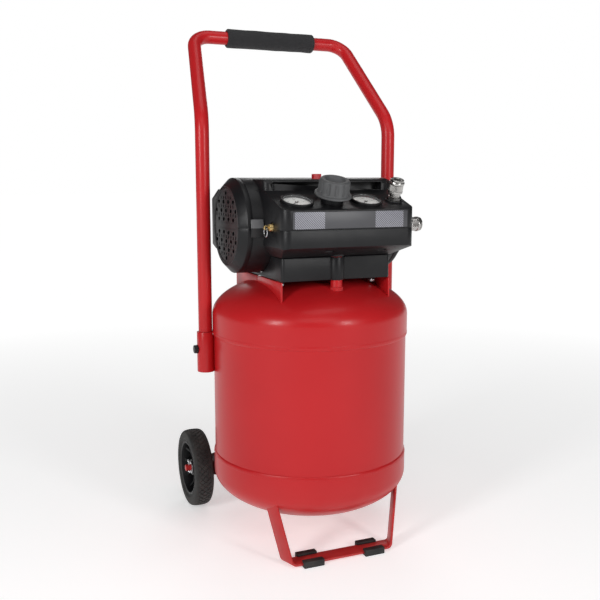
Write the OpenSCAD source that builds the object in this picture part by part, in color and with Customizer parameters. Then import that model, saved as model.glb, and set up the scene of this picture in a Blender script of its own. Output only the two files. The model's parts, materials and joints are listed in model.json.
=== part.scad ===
// Portable air compressor: upright tank on two wheels and a front foot,
// folded tube handle, oil-free pump and control console on top.
// Millimetres, +Z up, the front faces -Y. Y = tank_y is the tank axis.

/* [Tank] */
// Outside diameter of the rolled shell
tank_d = 355.6; // [330:0.1:430]
// Thickness of the shell
shell_wall = 2; // [1.5:0.1:3]
// Thickness of the pressed heads
head_wall = 2; // [1.5:0.1:3]
// Height of the lower seam above the floor
seam_z = 158; // [150:1:190]
// Distance between the two seams
shell_h = 232; // [180:1:320]
// Straight skirt of each head
skirt_h = 31; // [20:1:40]
// Depth of the domed part of each head
dome_h = 74; // [60:1:80]
// Height of the weld bead at each seam
bead_h = 8; // [5:0.5:10]
// How far the weld bead stands off the shell
bead_t = 2; // [1:0.1:3]

/* [Handle] */
// Diameter of the handle tube
tube_d = 25; // [20:0.5:30]
// Wall of the handle tube
tube_wall = 1.8; // [1.2:0.1:2.5]
// How far the legs stand behind the tank axis
leg_y = 49; // [30:1:70]
// Height above the upper seam of the bend where the handle leans back
lean_h = 381; // [360:1:430]
// Height of the cross bar above that bend
bar_h = 163; // [140:1:200]
// How far the cross bar stands behind the legs
lean_y = 151; // [100:1:180]
// How far each side moves in between the legs and the bar
lean_x = 30; // [10:1:50]
// Centre line radius of the top bends
top_bend_r = 36; // [30:1:60]
// Centre line radius of the lower bends
low_bend_r = 70; // [40:1:90]
// Length of the foam grip
grip_l = 182; // [120:1:200]
// Thickness of the foam grip
grip_t = 5.4; // [3:0.1:8]
// Wall of the handle sockets
socket_wall = 3.2; // [2:0.1:4.5]
// Length of the handle sockets
socket_h = 74; // [50:1:90]
// How far the sockets' lower end lies below the upper seam
socket_drop = 76; // [60:1:100]

/* [Wheels] */
// Tyre diameter
wheel_d = 155; // [128:1:170]
// Tyre width
wheel_w = 38; // [30:1:46]
// How far the wheels' outer faces stand outside the tank's sides
wheel_side = 9.6; // [6:0.1:20]
// How far the axle stands behind the tank's back
axle_gap = 16.1; // [12:0.1:30]
// Axle diameter
axle_d = 12.7; // [10:0.1:16]
// Height of the tyre's section
tyre_h = 22.5; // [18:0.5:26]
// Thickness of the wheel bracket plates
bracket_t = 4; // [3:0.5:6]

/* [Front foot] */
// Thickness of the foot strip
strip_t = 4; // [3:0.5:6]
// Width of the foot strip
strip_w = 31; // [26:1:38]
// Distance between the two folds, on the centre line
foot_l = 204; // [160:1:212]
// How far the strip's centre lies behind the front of the tank
foot_set = 41.9; // [30:0.1:55]
// Length of each rubber pad
pad_l = 38; // [30:1:50]
// Distance between the pad centres
pad_gap = 118; // [100:1:130]

/* [Pump shroud] */
// Height of the motor axis above the tank top, a little over the base
motor_h = 88; // [88:1:120]
// Radius of the round shroud
shroud_r = 83.5; // [82:0.5:90]
// Length of the round shroud between its end chamfers
shroud_l = 296; // [290:1:320]
// Length of each end chamfer
end_l = 13; // [8:1:16]
// Radius of the flat ends
end_r = 70; // [64:1:74]
// Wall of the moulded covers
cover_wall = 2.5; // [2:0.1:3.5]
// Width of the console
console_w = 240; // [236:1:270]
// How far the console front stands before the tank axis
console_y = 172; // [165:1:185]
// Height of the front edge of the deck above the motor axis
deck_z = 31.7; // [28:1:40]
// Slope of the deck, degrees
deck_tilt = 19; // [15:1:22]
// How far back the deck runs
deck_y = 87; // [85:1:90]
// Corner radius of the console
console_r = 15; // [8:1:20]
// Height of the hood above the motor axis
hood_z = 81; // [78:1:82]
// Back of the rear cover, behind the motor axis
rear_y = 105; // [103:1:115]

/* [Base] */
// Width of the base skirt
base_w = 204; // [196:1:216]
// Front of the base skirt, before the tank axis
base_front = 118; // [118:1:124]
// Back of the base skirt, behind the tank axis
base_back = 112; // [106:1:116]
// Height of the base skirt
base_h = 40; // [36:1:42]

/* [Controls] */
// Gauge bezel diameter
gauge_d = 55; // [45:1:58]
// Width of the bezel
bezel_w = 4; // [3:0.5:5]
// Distance between the gauge centres
gauge_gap = 127; // [124:1:136]
// Sideways place of the regulator knob
knob_x = -18.5; // [-22:0.5:-10]
// Knob diameter at its skirt
knob_d = 62.5; // [54:0.5:64]
// Knob diameter at its top
knob_top_d = 50; // [44:0.5:52]
// Knob height
knob_h = 28; // [26:1:36]
// Height of the collar below the knob
collar_h = 11; // [9:1:14]
// Sideways place of the top coupler
coupler_x = 98; // [94:1:100]
// Distance of the controls from the deck's front edge, along the slope
ctrl_s = 39; // [36:1:42]

/* [Clearances] */
// Gap between pressed parts that nest in each other
nest_gap = 0.1; // [0.05:0.05:0.3]
// Radial running clearance of a shaft in its bore
run_gap = 0.06; // [0.03:0.01:0.1]
// Gap round a part that passes through a cover
hole_gap = 0.8; // [0.5:0.1:2]

/* [Hidden] */
$fn = 64;

RED = [0.72, 0.06, 0.08];
BLACK = [0.09, 0.09, 0.1];
GREY = [0.36, 0.37, 0.39];
RUBBER = [0.07, 0.07, 0.07];
STEEL = [0.7, 0.71, 0.72];
BRASS = [0.75, 0.6, 0.32];
ALLOY = [0.62, 0.63, 0.65];
COPPER = [0.72, 0.45, 0.3];
WHITE = [0.92, 0.92, 0.9];

// Tank
shell_r = tank_d / 2;
head_r = shell_r + nest_gap + head_wall;
seam_top_z = seam_z + shell_h;
dome_low_z = seam_z - skirt_h;
dome_top_z = seam_top_z + skirt_h;
tank_top_z = dome_top_z + dome_h;
tank_low_z = dome_low_z - dome_h;
bead_r = head_r + 0.3;

// Handle
lean_z = seam_top_z + lean_h;
bar_z = lean_z + bar_h;
socket_z = seam_top_z - socket_drop;
tube_r = tube_d / 2;
socket_r = tube_r + nest_gap + socket_wall;
grip_r = tube_r + nest_gap + grip_t;
socket_reach = shell_r + socket_r - 0.7;
leg_x = sqrt(socket_reach * socket_reach - leg_y * leg_y);
bolt_d = 8;
bolt_z = socket_z + socket_h * 0.57;
bolt_head_h = 5;
bolt_head_af = 14;
washer_t = 1.5;

// Wheels
wheel_r = wheel_d / 2;
axle_r = axle_d / 2;
axle_z = wheel_r;
wheel_out = head_r + wheel_side;
axle_y = head_r + axle_gap;
rim_r = wheel_r - tyre_h;
wheel_in = wheel_out - wheel_w;
bracket_x = wheel_in - 8 - bracket_t;
hub_r = 17;
hub_out = wheel_out - 11;
washer_out_t = 2;
pin_r = 1.6;
pin_x = hub_out + washer_out_t + 4;
axle_l = 2 * (pin_x + 7);

// Whole object
front_y = max(console_y, bead_r);
back_y = axle_y + wheel_r;
tank_y = (front_y - back_y) / 2;

// Front foot
foot_y = head_r - foot_set;
pad_t = 3;
strip_z = pad_t + 0.1;
leg_turn = -19;
leg_lean_y = 15;
leg_lean_x = 7;

// Pump
corner_x = base_w / 2 - 14;
corner_y = 75;
flange_w = 24;
corner_r = norm([corner_x, corner_y]);
corner_lift = 15.908;
base_z = dome_top_z + dome_h * sqrt(1 - pow(corner_r / head_r, 2)) + corner_lift;
base_drop = 1.4;
axis_z = base_z + base_drop + motor_h;
end_x = shroud_l / 2 + end_l;
console_x = console_w / 2;
under_z = axis_z - 29;
under_low_z = axis_z - 49;
under_y = console_y - 54;
under_x = console_x - 18;
deck_rise = deck_y * tan(deck_tilt);
hood_y = console_y - deck_y - 5;
hood_x = console_x - 2;
pocket_x = 103;
pocket_z0 = deck_z + deck_rise + 0.5;
pocket_z1 = hood_z - 5;
pocket_d = 24;
rear_cut_y = 56;
seam_x = shroud_l / 2 - 9;
label_x = console_x - 15.7;
label_z0 = 2;
label_h = 27.4;
label_t = 1.2;
label_sink = 0.6;
rear_x = end_x - 7;
plate_z = base_z + 12;
plate_t = 3;
pipe_r = 10;
pipe_y = 114;
cover_pipe_r = pipe_r + 1.2;
foot_x = [-70, -5];
foot_w = 20;
foot_in = 44;
foot_out = 54;

// Motor and pump
shaft_r = 6;
can_r = 52;
can_x0 = -112;
can_x1 = 19.95;
crank_x = 45;
crank_case_x0 = 20;
crank_case_x1 = 70;
crank_e = 9;
pin_ring_r = 16;
stroke = 2 * crank_e;
bore_r = 25;
piston_top_y = 84.5;
valve_y = 85.5;
valve_t = 3;
head_y = valve_y + valve_t;
head_t = 12;
fan_r = 58;
fan_x = 132;

// Controls
dial_r = gauge_d / 2 - bezel_w;
coupler_rise = 0.1;
gauge_x = [knob_x - gauge_gap / 2, knob_x + gauge_gap / 2];
mani_z = -44;
mani_h = 26;
mani_s = 28;
mani_x = console_x - 8;
relief_x = -console_x - 11;
line_y = -console_y + ctrl_s * cos(deck_tilt) - mani_z * sin(deck_tilt);
line_z = deck_z + ctrl_s * sin(deck_tilt) + mani_z * cos(deck_tilt);
switch_x = knob_x + 12;
switch_y = 44;
switch_w = 15;
switch_t = 10;
switch_top = 90;

module on_axis() { translate([0, tank_y, 0]) children(); }
module on_motor() { translate([0, tank_y, axis_z]) children(); }
module on_deck(x, s = ctrl_s) {
    on_motor() translate([x, -console_y, deck_z]) rotate([deck_tilt, 0, 0])
        translate([0, s, 0]) children();
}
module both_sides() {
    children();
    mirror([1, 0, 0]) children();
}
module along_x(x0, x1, r) { translate([x0, 0, 0]) rotate([0, 90, 0]) cylinder(h = x1 - x0, r = r); }
module along_y(y0, y1, r) { translate([0, y0, 0]) rotate([-90, 0, 0]) cylinder(h = y1 - y0, r = r); }
// A prism whose outline is given in Y and Z
module prism_x(x0, x1, pts) {
    translate([x0, 0, 0]) rotate([90, 0, 90]) linear_extrude(height = x1 - x0) polygon(pts);
}
// A prism whose outline is given in X and Z
module prism_y(y0, y1, pts) {
    translate([0, y1, 0]) rotate([90, 0, 0]) linear_extrude(height = y1 - y0) polygon(pts);
}
module ring(r_out, r_in, z0, h) {
    translate([0, 0, z0]) difference() {
        cylinder(h = h, r = r_out);
        translate([0, 0, -1]) cylinder(h = h + 2, r = r_in);
    }
}
module hexagon(af, h) { cylinder(h = h, r = af / 2 / cos(30), $fn = 6); }

// Tank -------------------------------------------------------------

// Half outline of a domed head, from its rim at height 0 up to its crown
function dome_line(r, h, n = 22) = [for (i = [0 : n]) [r * cos(90 * i / n), h * sin(90 * i / n)]];

module head_form(r, lip, depth) {
    rotate_extrude($fn = 96)
        polygon(concat([[0, -lip], [r, -lip]], dome_line(r, depth)));
}
module head_shell() {
    difference() {
        head_form(head_r, skirt_h, dome_h);
        translate([0, 0, -0.01])
            head_form(head_r - head_wall, skirt_h + 1, dome_h - head_wall);
    }
}
// The outside of the whole tank, to cut what is welded to it
module tank_form(gap = 0) {
    r = head_r + gap;
    translate([0, 0, dome_top_z]) head_form(r, skirt_h + 1, dome_h + gap);
    translate([0, 0, dome_low_z]) mirror([0, 0, 1]) head_form(r, skirt_h + 1, dome_h + gap);
    translate([0, 0, dome_low_z]) cylinder(h = dome_top_z - dome_low_z, r = shell_r + gap, $fn = 96);
}
module seam_bead() {
    rotate_extrude($fn = 96)
        polygon([[shell_r - 0.5, 0], [head_r + 0.1, 0], [bead_r, bead_h * 0.25],
                 [bead_r, bead_h * 0.6], [shell_r + bead_t * 0.5, bead_h], [shell_r - 0.5, bead_h]]);
}
module tank_shell() {
    color(RED) on_axis() {
        ring(shell_r, shell_r - shell_wall, seam_z - 20, shell_h + 40, $fn = 96);
        translate([0, 0, seam_z + 0.05]) seam_bead();
        translate([0, 0, seam_top_z - 0.05]) mirror([0, 0, 1]) seam_bead();
    }
}
module top_head() {
    color(RED) on_axis() translate([0, 0, dome_top_z]) head_shell();
}
module bottom_head() {
    color(RED) on_axis() difference() {
        translate([0, 0, dome_low_z]) mirror([0, 0, 1]) head_shell();
        translate([0, 0, tank_low_z - 1]) cylinder(h = 20, r = 6.5 + nest_gap);
    }
}
module outlet_pipe() {
    color(RED) on_axis() difference() {
        union() {
            translate([0, -pipe_y, tank_top_z - 45])
                cylinder(h = axis_z - 6 - tank_top_z + 45, r = pipe_r);
            translate([0, -pipe_y, tank_top_z - 45]) cylinder(h = 27, r1 = pipe_r + 6, r2 = pipe_r + 2);
        }
        tank_form(0.02);
        translate([0, -pipe_y, tank_top_z - 50]) cylinder(h = axis_z, r = pipe_r - 3);
    }
}
module drain_valve() {
    color(BRASS) on_axis() difference() {
        union() {
            translate([0, 0, tank_low_z - 16]) cylinder(h = 26, r = 6.5);
            translate([0, 0, tank_low_z - 12]) hexagon(19, 9);
        }
        translate([0, 0, tank_low_z - 20]) cylinder(h = 14, r = 3.5 + run_gap);
        translate([0, 0, tank_low_z - 10]) cylinder(h = 30, r = 2);
    }
}
module drain_screw() {
    color(BRASS) on_axis() {
        translate([0, 0, tank_low_z - 24]) cylinder(h = 17, r = 3.5);
        difference() {
            translate([0, 0, tank_low_z - 28]) cylinder(h = 6, r = 9);
            for (a = [0 : 45 : 315])
                rotate([0, 0, a]) translate([10.5, 0, tank_low_z - 29]) cylinder(h = 8, r = 3);
        }
    }
}

// Front foot ---------------------------------------------------------

// One leg of the strip: turned towards the tank and leaning out and back
module foot_leg() {
    translate([foot_l / 2, -foot_y, strip_z]) rotate([0, 0, leg_turn]) rotate([-leg_lean_y, leg_lean_x, 0])
        translate([-strip_t, -strip_w / 2, -15]) cube([strip_t, strip_w, 140]);
}
// All that lies inward of the right fold
module inside_fold() {
    translate([foot_l / 2, -foot_y, 0]) rotate([0, 0, leg_turn])
        translate([-2 * foot_l, -foot_l, -1]) cube([2 * foot_l, 2 * foot_l, 30]);
}
module foot_strip() {
    color(RED) on_axis() difference() {
        union() {
            intersection() {
                translate([-foot_l, -foot_y - strip_w / 2, strip_z]) cube([2 * foot_l, strip_w, strip_t]);
                inside_fold();
                mirror([1, 0, 0]) inside_fold();
            }
            both_sides() foot_leg();
        }
        tank_form(0.02);
        translate([-200, -250, -20]) cube([400, 250, 20 + strip_z]);
    }
}
module foot_pad() {
    w = strip_w + 14;
    difference() {
        translate([-pad_l / 2, -w / 2, 0]) cube([pad_l, w, pad_t + strip_t + 5]);
        translate([-pad_l / 2 - 1, -strip_w / 2 - 0.3, pad_t]) cube([pad_l + 2, strip_w + 0.6, strip_t + 0.4]);
        translate([-pad_l / 2 - 1, -strip_w / 2 + 5, pad_t]) cube([pad_l + 2, strip_w - 10, 20]);
        translate([0, 0, -3]) rotate([45, 0, 90]) cube([4, 2 * pad_l, 4], center = true);
    }
}
module foot_pads() {
    color(RUBBER) on_axis() both_sides() translate([pad_gap / 2, -foot_y, 0]) foot_pad();
}

// Wheels -------------------------------------------------------------

module wheel_brackets() {
    color(RED) on_axis() both_sides() difference() {
        union() {
            prism_x(bracket_x, bracket_x + bracket_t,
                    [[80, axle_z + 18], [80, axle_z + 62], [118, axle_z + 56],
                     [axle_y + 6, axle_z + 19], [axle_y - 8, axle_z - 18]]);
            translate([0, axle_y, axle_z]) along_x(bracket_x, bracket_x + bracket_t, 20);
            translate([0, axle_y, axle_z]) along_x(bracket_x - 6, bracket_x + 1, axle_r + 5);
        }
        tank_form(0.02);
        translate([0, axle_y, axle_z]) along_x(0, 300, axle_r + 0.1);
    }
}
module axle() {
    color(RED) on_axis() translate([0, axle_y, axle_z]) difference() {
        along_x(-axle_l / 2, axle_l / 2, axle_r);
        both_sides() translate([pin_x, 0, -20]) cylinder(h = 40, r = pin_r + 0.1);
    }
}
module axle_fittings() {
    color(STEEL) on_axis() translate([0, axle_y, axle_z]) both_sides() {
        translate([hub_out + 0.3, 0, 0]) rotate([0, 90, 0])
            ring(axle_r + 6, axle_r + 0.2, 0, washer_out_t);
        translate([bracket_x + bracket_t + 0.1, 0, 0]) rotate([0, 90, 0])
            ring(axle_r + 5, axle_r + 0.2, 0, 7.5);
        translate([pin_x, 0, -axle_r - 5]) cylinder(h = 2 * axle_r + 8, r = pin_r);
        translate([pin_x, 0, axle_r + 5]) rotate([0, 90, 0]) rotate_extrude()
            translate([3.4, 0]) circle(r = 1.3, $fn = 24);
    }
}
module tyre() {
    p = 5;
    rotate([0, 90, 0]) difference() {
        rotate_extrude($fn = 96)
            polygon([[rim_r, 3], [wheel_r - 16, 0], [wheel_r - p, 2], [wheel_r, p + 2],
                     [wheel_r, wheel_w - p - 2], [wheel_r - p, wheel_w - 2],
                     [wheel_r - 16, wheel_w], [rim_r, wheel_w - 3]]);
        for (i = [0 : 11]) rotate([0, 0, i * 30 + 15]) translate([wheel_r, 0, wheel_w / 2])
            cube([4, 3, wheel_w - 20], center = true);
    }
}
module rim() {
    rotate([0, 90, 0]) difference() {
        union() {
            ring(rim_r - 0.05, rim_r - 5, 3, wheel_w - 6, $fn = 96);
            ring(rim_r - 4, hub_r - 1, 10, 4, $fn = 96);
            cylinder(h = wheel_w - 11, r = hub_r);
            for (i = [0 : 9]) rotate([0, 0, i * 36])
                translate([hub_r - 2, -2.2, 11]) cube([rim_r - 2 - hub_r, 4.4, 11]);
        }
        translate([0, 0, -1]) cylinder(h = wheel_w + 2, r = axle_r + run_gap);
    }
}
module right_wheel_place() {
    on_axis() translate([wheel_in, axle_y, axle_z]) children();
}
module right_tyre() { color(RUBBER) right_wheel_place() tyre(); }
module right_rim() { color(BLACK) right_wheel_place() rim(); }
module left_tyre() { color(RUBBER) mirror([1, 0, 0]) right_wheel_place() tyre(); }
module left_rim() { color(BLACK) mirror([1, 0, 0]) right_wheel_place() rim(); }

// Handle -------------------------------------------------------------

function unit(v) = v / norm(v);
// A straight length of tube from p to q
module tube_between(p, q) {
    d = q - p;
    translate(p) rotate([0, acos(d.z / norm(d)), atan2(d.y, d.x)]) ring(tube_r, tube_r - tube_wall, 0, norm(d));
}
// The start of a bend of radius bend_r at corner b, coming from a
function bend_start(a, b, c, bend_r) =
    b + unit(a - b) * bend_r / tan(acos(unit(a - b) * unit(c - b)) / 2);
// A bent length of tube at corner b between the straights a-b and b-c
module tube_bend(a, b, c, bend_r) {
    u = unit(a - b);
    v = unit(c - b);
    angle = 180 - acos(u * v);
    mid = b + unit(u + v) * bend_r / cos(angle / 2);
    ex = unit(bend_start(a, b, c, bend_r) - mid);
    ez = unit(cross(v, u));
    ey = cross(ez, ex);
    multmatrix([[ex.x, ey.x, ez.x, mid.x], [ex.y, ey.y, ez.y, mid.y],
                [ex.z, ey.z, ez.z, mid.z], [0, 0, 0, 1]])
        rotate([0, 0, -lap_a]) rotate_extrude(angle = angle + 2 * lap_a) translate([bend_r, 0]) difference() {
            circle(r = tube_r - lap_step);
            circle(r = tube_r - tube_wall + lap_step);
        }
}
leg_foot = [leg_x, leg_y, socket_z + 4];
leg_bend = [leg_x, leg_y, lean_z];
bar_end = [leg_x - lean_x, leg_y + lean_y, bar_z];
bar_mid = [0, leg_y + lean_y, bar_z];
// Each bend runs this many degrees into the straights, a hair inside their wall
lap_a = 0.5;
lap_step = 0.02;
module half_handle() {
    difference() {
        tube_between(leg_foot, bend_start(leg_foot, leg_bend, bar_end, low_bend_r));
        translate([0, leg_y, bolt_z]) along_x(leg_x - 40, leg_x + 40, bolt_d / 2 + 0.2);
    }
    tube_bend(leg_foot, leg_bend, bar_end, low_bend_r);
    tube_between(bend_start(bar_end, leg_bend, leg_foot, low_bend_r),
                 bend_start(leg_bend, bar_end, bar_mid, top_bend_r));
    tube_bend(leg_bend, bar_end, bar_mid, top_bend_r);
}
module handle_tube() {
    color(RED) on_axis() {
        both_sides() half_handle();
        right_end = bend_start(bar_mid, bar_end, leg_bend, top_bend_r);
        tube_between([-right_end.x, right_end.y, right_end.z], right_end);
    }
}
module handle_grip() {
    color(RUBBER) on_axis() translate([0, leg_y + lean_y, bar_z]) rotate([0, 90, 0])
        ring(grip_r, tube_r + nest_gap, -grip_l / 2, grip_l);
}
module handle_sockets() {
    color(RED) on_axis() both_sides() difference() {
        translate([leg_x, leg_y, 0]) ring(socket_r, tube_r + nest_gap, socket_z, socket_h);
        cylinder(h = seam_top_z - bead_h - 0.5, r = shell_r + 0.05, $fn = 96);
        translate([0, 0, seam_top_z - bead_h - 0.5]) cylinder(h = 200, r = bead_r + 0.1, $fn = 96);
        translate([0, leg_y, bolt_z]) along_x(leg_x - 40, leg_x + 40, bolt_d / 2 + 0.2);
    }
}
module socket_bolts() {
    color(BLACK) on_axis() both_sides() translate([0, leg_y, bolt_z]) {
        along_x(leg_x - tube_r - 1, leg_x + socket_r + 2, bolt_d / 2);
        along_x(leg_x + socket_r + 0.05, leg_x + socket_r + washer_t, bolt_d);
        translate([leg_x + socket_r + washer_t, 0, 0]) rotate([0, 90, 0]) hexagon(bolt_head_af, bolt_head_h);
    }
}

// Base ---------------------------------------------------------------

module pump_bracket() {
    t = 3;
    difference() {
        union() {
            translate([base_w / 2 - 2, 1.5, tank_top_z - 50])
                cube([t, base_front - 2.5, base_z - 1 - tank_top_z + 50]);
            translate([base_w / 2 - flange_w, flange_w, base_z - 1 - t])
                cube([flange_w, corner_y + 13 - flange_w, t]);
        }
        tank_form(0.02);
        translate([corner_x, corner_y, base_z - 20]) cylinder(h = 40, r = 4.2);
    }
}
module pump_brackets() {
    color(RED) on_axis() both_sides() {
        mirror([0, 1, 0]) pump_bracket();
        pump_bracket();
    }
}
module base_corners() {
    for (x = [-1, 1], y = [-1, 1]) translate([x * corner_x, y * corner_y, 0]) children();
}
module isolators() {
    color(RUBBER) on_axis() base_corners() {
        ring(9, 4, base_z - 0.9, plate_z - base_z + 0.8);
        ring(7, 4, base_z - 7.1, 3);
    }
}
module fixing_screws() {
    color(STEEL) on_axis() base_corners() {
        translate([0, 0, base_z - 11]) cylinder(h = plate_z + plate_t + 1 - base_z + 11, r = 3.9);
        translate([0, 0, plate_z + plate_t + 0.1]) hexagon(13, 5);
        translate([0, 0, base_z - 11.3]) hexagon(13, 4);
    }
    color(STEEL) on_motor() for (x = [-120, 120], z = [-28, 34])
        translate([x, rear_y + 0.25, z]) along_y(0, 2.5, 4);
}
module round_box(x, y0, y1, r, z0, z1) {
    translate([0, 0, z0]) linear_extrude(height = z1 - z0) union() {
        translate([-x, y0 + r]) square([2 * x, y1 - y0 - r]);
        translate([-x + r, y0]) square([2 * (x - r), y1 - y0]);
        for (s = [-1, 1]) translate([s * (x - r), y0 + r]) circle(r = r);
    }
}
module base_skirt() {
    t = cover_wall;
    color(BLACK) on_axis() difference() {
        union() {
            round_box(base_w / 2, -base_front, base_back, 6, base_z, base_z + base_h);
            translate([0, -pipe_y, base_z]) cylinder(h = base_h, r = cover_pipe_r + t);
        }
        difference() {
            round_box(base_w / 2 - t, -base_front + t, base_back - t, 4, base_z - 1, base_z + base_h + 1);
            translate([-base_w, -base_w, plate_z]) cube([2 * base_w, 2 * base_w, plate_t]);
        }
        translate([0, -pipe_y, base_z - 1]) cylinder(h = base_h + 2, r = cover_pipe_r);
        translate([0, 0, axis_z]) along_x(-150, 150, shroud_r + hole_gap);
        tank_form(2);
        base_corners() translate([0, 0, base_z]) cylinder(h = 30, r = 4.2);
        translate([crank_x, head_y + 6, base_z]) cylinder(h = 60, r = 12);
        translate([0, 0, under_low_z - hole_gap]) round_box(200, -200, -shroud_r, 5, 0, 50);
        translate([-150, rear_cut_y + 8, axis_z - 47 - hole_gap]) cube([300, 100, 60]);
    }
}

// Shroud ---------------------------------------------------------------

// Outline of the console in plan, inset by o
module console_plan(o) {
    round_box(console_x - o, -console_y + o, -40, console_r - o, -60, 100);
}
module console_form(o) {
    intersection() {
        console_plan(o);
        prism_x(-200, 200,
                [[-console_y + o, under_z - axis_z + o * 0.6], [-console_y + o, deck_z - o],
                 [-console_y + deck_y, deck_z + deck_rise - o],
                 [-40, deck_z + deck_rise - o], [-40, under_low_z - axis_z + o],
                 [-under_y + o * 0.6, under_low_z - axis_z + o]]);
        prism_y(-200, 0,
                [[-console_x + o, under_z - axis_z + o * 0.6], [-console_x + o, 100], [console_x - o, 100],
                 [console_x - o, under_z - axis_z + o * 0.6], [under_x - o * 0.4, under_low_z - axis_z + o],
                 [-under_x + o * 0.4, under_low_z - axis_z + o]]);
    }
}
// The raised hood between the deck and the round body, inset by o
module hood_form(o) {
    intersection() {
        round_box(hood_x - o, -hood_y + o, 12, 10 - o, 0, 100);
        prism_x(-200, 200, [[-hood_y + o, 0], [-hood_y + o, hood_z - 7 - o * 0.4],
                            [-hood_y + 7 + o * 0.4, hood_z - o], [12, hood_z - o], [12, 0]]);
    }
}
module round_form(o) {
    along_x(-shroud_l / 2, shroud_l / 2, shroud_r - o);
    both_sides() translate([shroud_l / 2, 0, 0]) rotate([0, 90, 0])
        cylinder(h = end_l, r1 = shroud_r - o, r2 = end_r - o);
}
module shroud_form(o) {
    round_form(o);
    console_form(o);
    hood_form(o);
}
rear_pts = [[rear_cut_y, 62], [66, 63], [rear_y, 45], [rear_y, -39.5], [84, -47], [70, -47]];
module rear_gap() {
    translate([-rear_x, rear_cut_y, -47]) cube([2 * rear_x, 100, 115]);
}
module foot_windows(g) {
    for (x = foot_x, s = [-1, 1])
        translate([x - g, s > 0 ? foot_in - g : -foot_out - g, -shroud_r - 10])
            cube([foot_w + 2 * g, foot_out - foot_in + 2 * g, 84]);
}
module control_holes() {
    g = hole_gap;
    for (x = gauge_x) on_deck(x) translate([0, 0, -20]) cylinder(h = 40, r = gauge_d / 2 - 3 + g);
    on_deck(knob_x) translate([0, 0, -20]) cylinder(h = 40, r = 12 + g);
    on_deck(coupler_x) translate([0, 0, -20]) cylinder(h = 40, r = 9 + g);
    on_deck(0) translate([0, 0, mani_z]) along_x(console_x - 20, console_x + 20, 9 + g);
    on_deck(0) translate([0, 0, mani_z]) along_x(-console_x - 20, -console_x + 20, 8 + g);
    on_motor() translate([switch_x - switch_w / 2 - g, -switch_y - switch_t / 2 - g, hood_z - 20])
        cube([switch_w + 2 * g, switch_t + 2 * g, 40]);
}
module seam_groove() {
    both_sides() difference() {
        along_x(seam_x, seam_x + 0.8, shroud_r + 1);
        along_x(seam_x - 1, seam_x + 2, shroud_r - 0.5);
    }
}
module upper_shroud() {
    color(BLACK) difference() {
        on_motor() intersection() {
            translate([-300, -300, 0.15]) cube([600, 600, 200]);
            difference() {
                union() {
                    difference() {
                        shroud_form(0);
                        shroud_form(cover_wall);
                        along_x(-200, 200, end_r - cover_wall);
                    }
                    translate([-pocket_x - 2, -hood_y + 0.5, pocket_z0 - 2])
                        cube([2 * pocket_x + 4, pocket_d + 2, pocket_z1 - pocket_z0 + 4]);
                }
                translate([-pocket_x, -hood_y - 5, pocket_z0])
                    cube([2 * pocket_x, pocket_d + 5, pocket_z1 - pocket_z0]);
                rear_gap();
                seam_groove();
                translate([-label_x - nest_gap, -console_y - 1, label_z0 - nest_gap])
                    cube([2 * (label_x + nest_gap), 1 + label_sink, label_h + 2 * nest_gap]);
            }
        }
        control_holes();
    }
}
module lower_shroud() {
    color(BLACK) difference() {
        on_motor() intersection() {
            translate([-300, -300, -200]) cube([600, 600, 199.85]);
            difference() {
                union() {
                    difference() {
                        shroud_form(0);
                        shroud_form(cover_wall);
                    }
                    translate([0, -pipe_y, under_low_z - axis_z])
                        cylinder(h = 12, r = cover_pipe_r + cover_wall);
                }
                along_x(-200, 200, end_r - cover_wall);
                rear_gap();
                seam_groove();
                foot_windows(1);
                translate([0, -pipe_y, -100]) cylinder(h = 100, r = pipe_r + hole_gap);
                for (x = [-36, 62]) translate([x, -under_y - 34, -50])
                    cube([15, 8, 20]);
            }
        }
        control_holes();
    }
}
module rear_cover() {
    t = cover_wall;
    color(BLACK) on_motor() difference() {
        prism_x(-rear_x + 0.3, rear_x - 0.3, [for (p = rear_pts) [p.x + 0.2, p.y + (p.y < -40 ? 0.2 : -0.2)]]);
        translate([-rear_x + t, 0, 0]) prism_x(0, 2 * rear_x - 2 * t,
            [[rear_cut_y - 1, 62 - t], [66 - 0.5, 63 - t], [rear_y - t, 45 - t * 0.7],
             [rear_y - t, -39.5 + t * 0.6], [84 - 0.5, -47 + t], [60, -47 + t], [rear_cut_y - 1, -40]]);
        along_x(-rear_x - 1, rear_x + 1, shroud_r + 0.15);
        translate([crank_x, head_y + 6, -60]) cylinder(h = 30, r = 5 + hole_gap);
        translate([-60, 0, -20]) along_y(80, 120, 8.2);
        for (i = [0 : 6]) translate([-14 + 12 * i, 90, -20]) cube([5, 30, 46]);
    }
}
// End grille: a disc of round holes with a level bar across its middle
module grille() {
    p = 15;
    difference() {
        cylinder(h = 3, r = end_r - cover_wall - 0.15);
        for (i = [-4 : 4], j = [-4 : 4]) {
            x = (i + (abs(j) % 2) * 0.5) * p;
            y = j * p * 0.87;
            if (norm([x, y]) < end_r - 13 && abs(y) > 7)
                translate([x, y, -1]) cylinder(h = 5, r = 5.2);
        }
    }
}
module end_grilles() {
    color(BLACK) on_motor() both_sides() translate([end_x - 3.2, 0, 0]) rotate([90, 0, 90]) grille();
}
module shroud_latches() {
    color(GREY) on_motor() both_sides() difference() {
        prism_x(121.5, 129.5 + 14, [[-60, 14.5], [-shroud_r - 1, 14.5], [-shroud_r - 5.5, 0],
                                    [-shroud_r - 1, -15.5], [-60, -15.5]]);
        along_x(0, 200, shroud_r + 0.05, $fn = 256);
    }
}

// Motor and pump ---------------------------------------------------------

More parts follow.
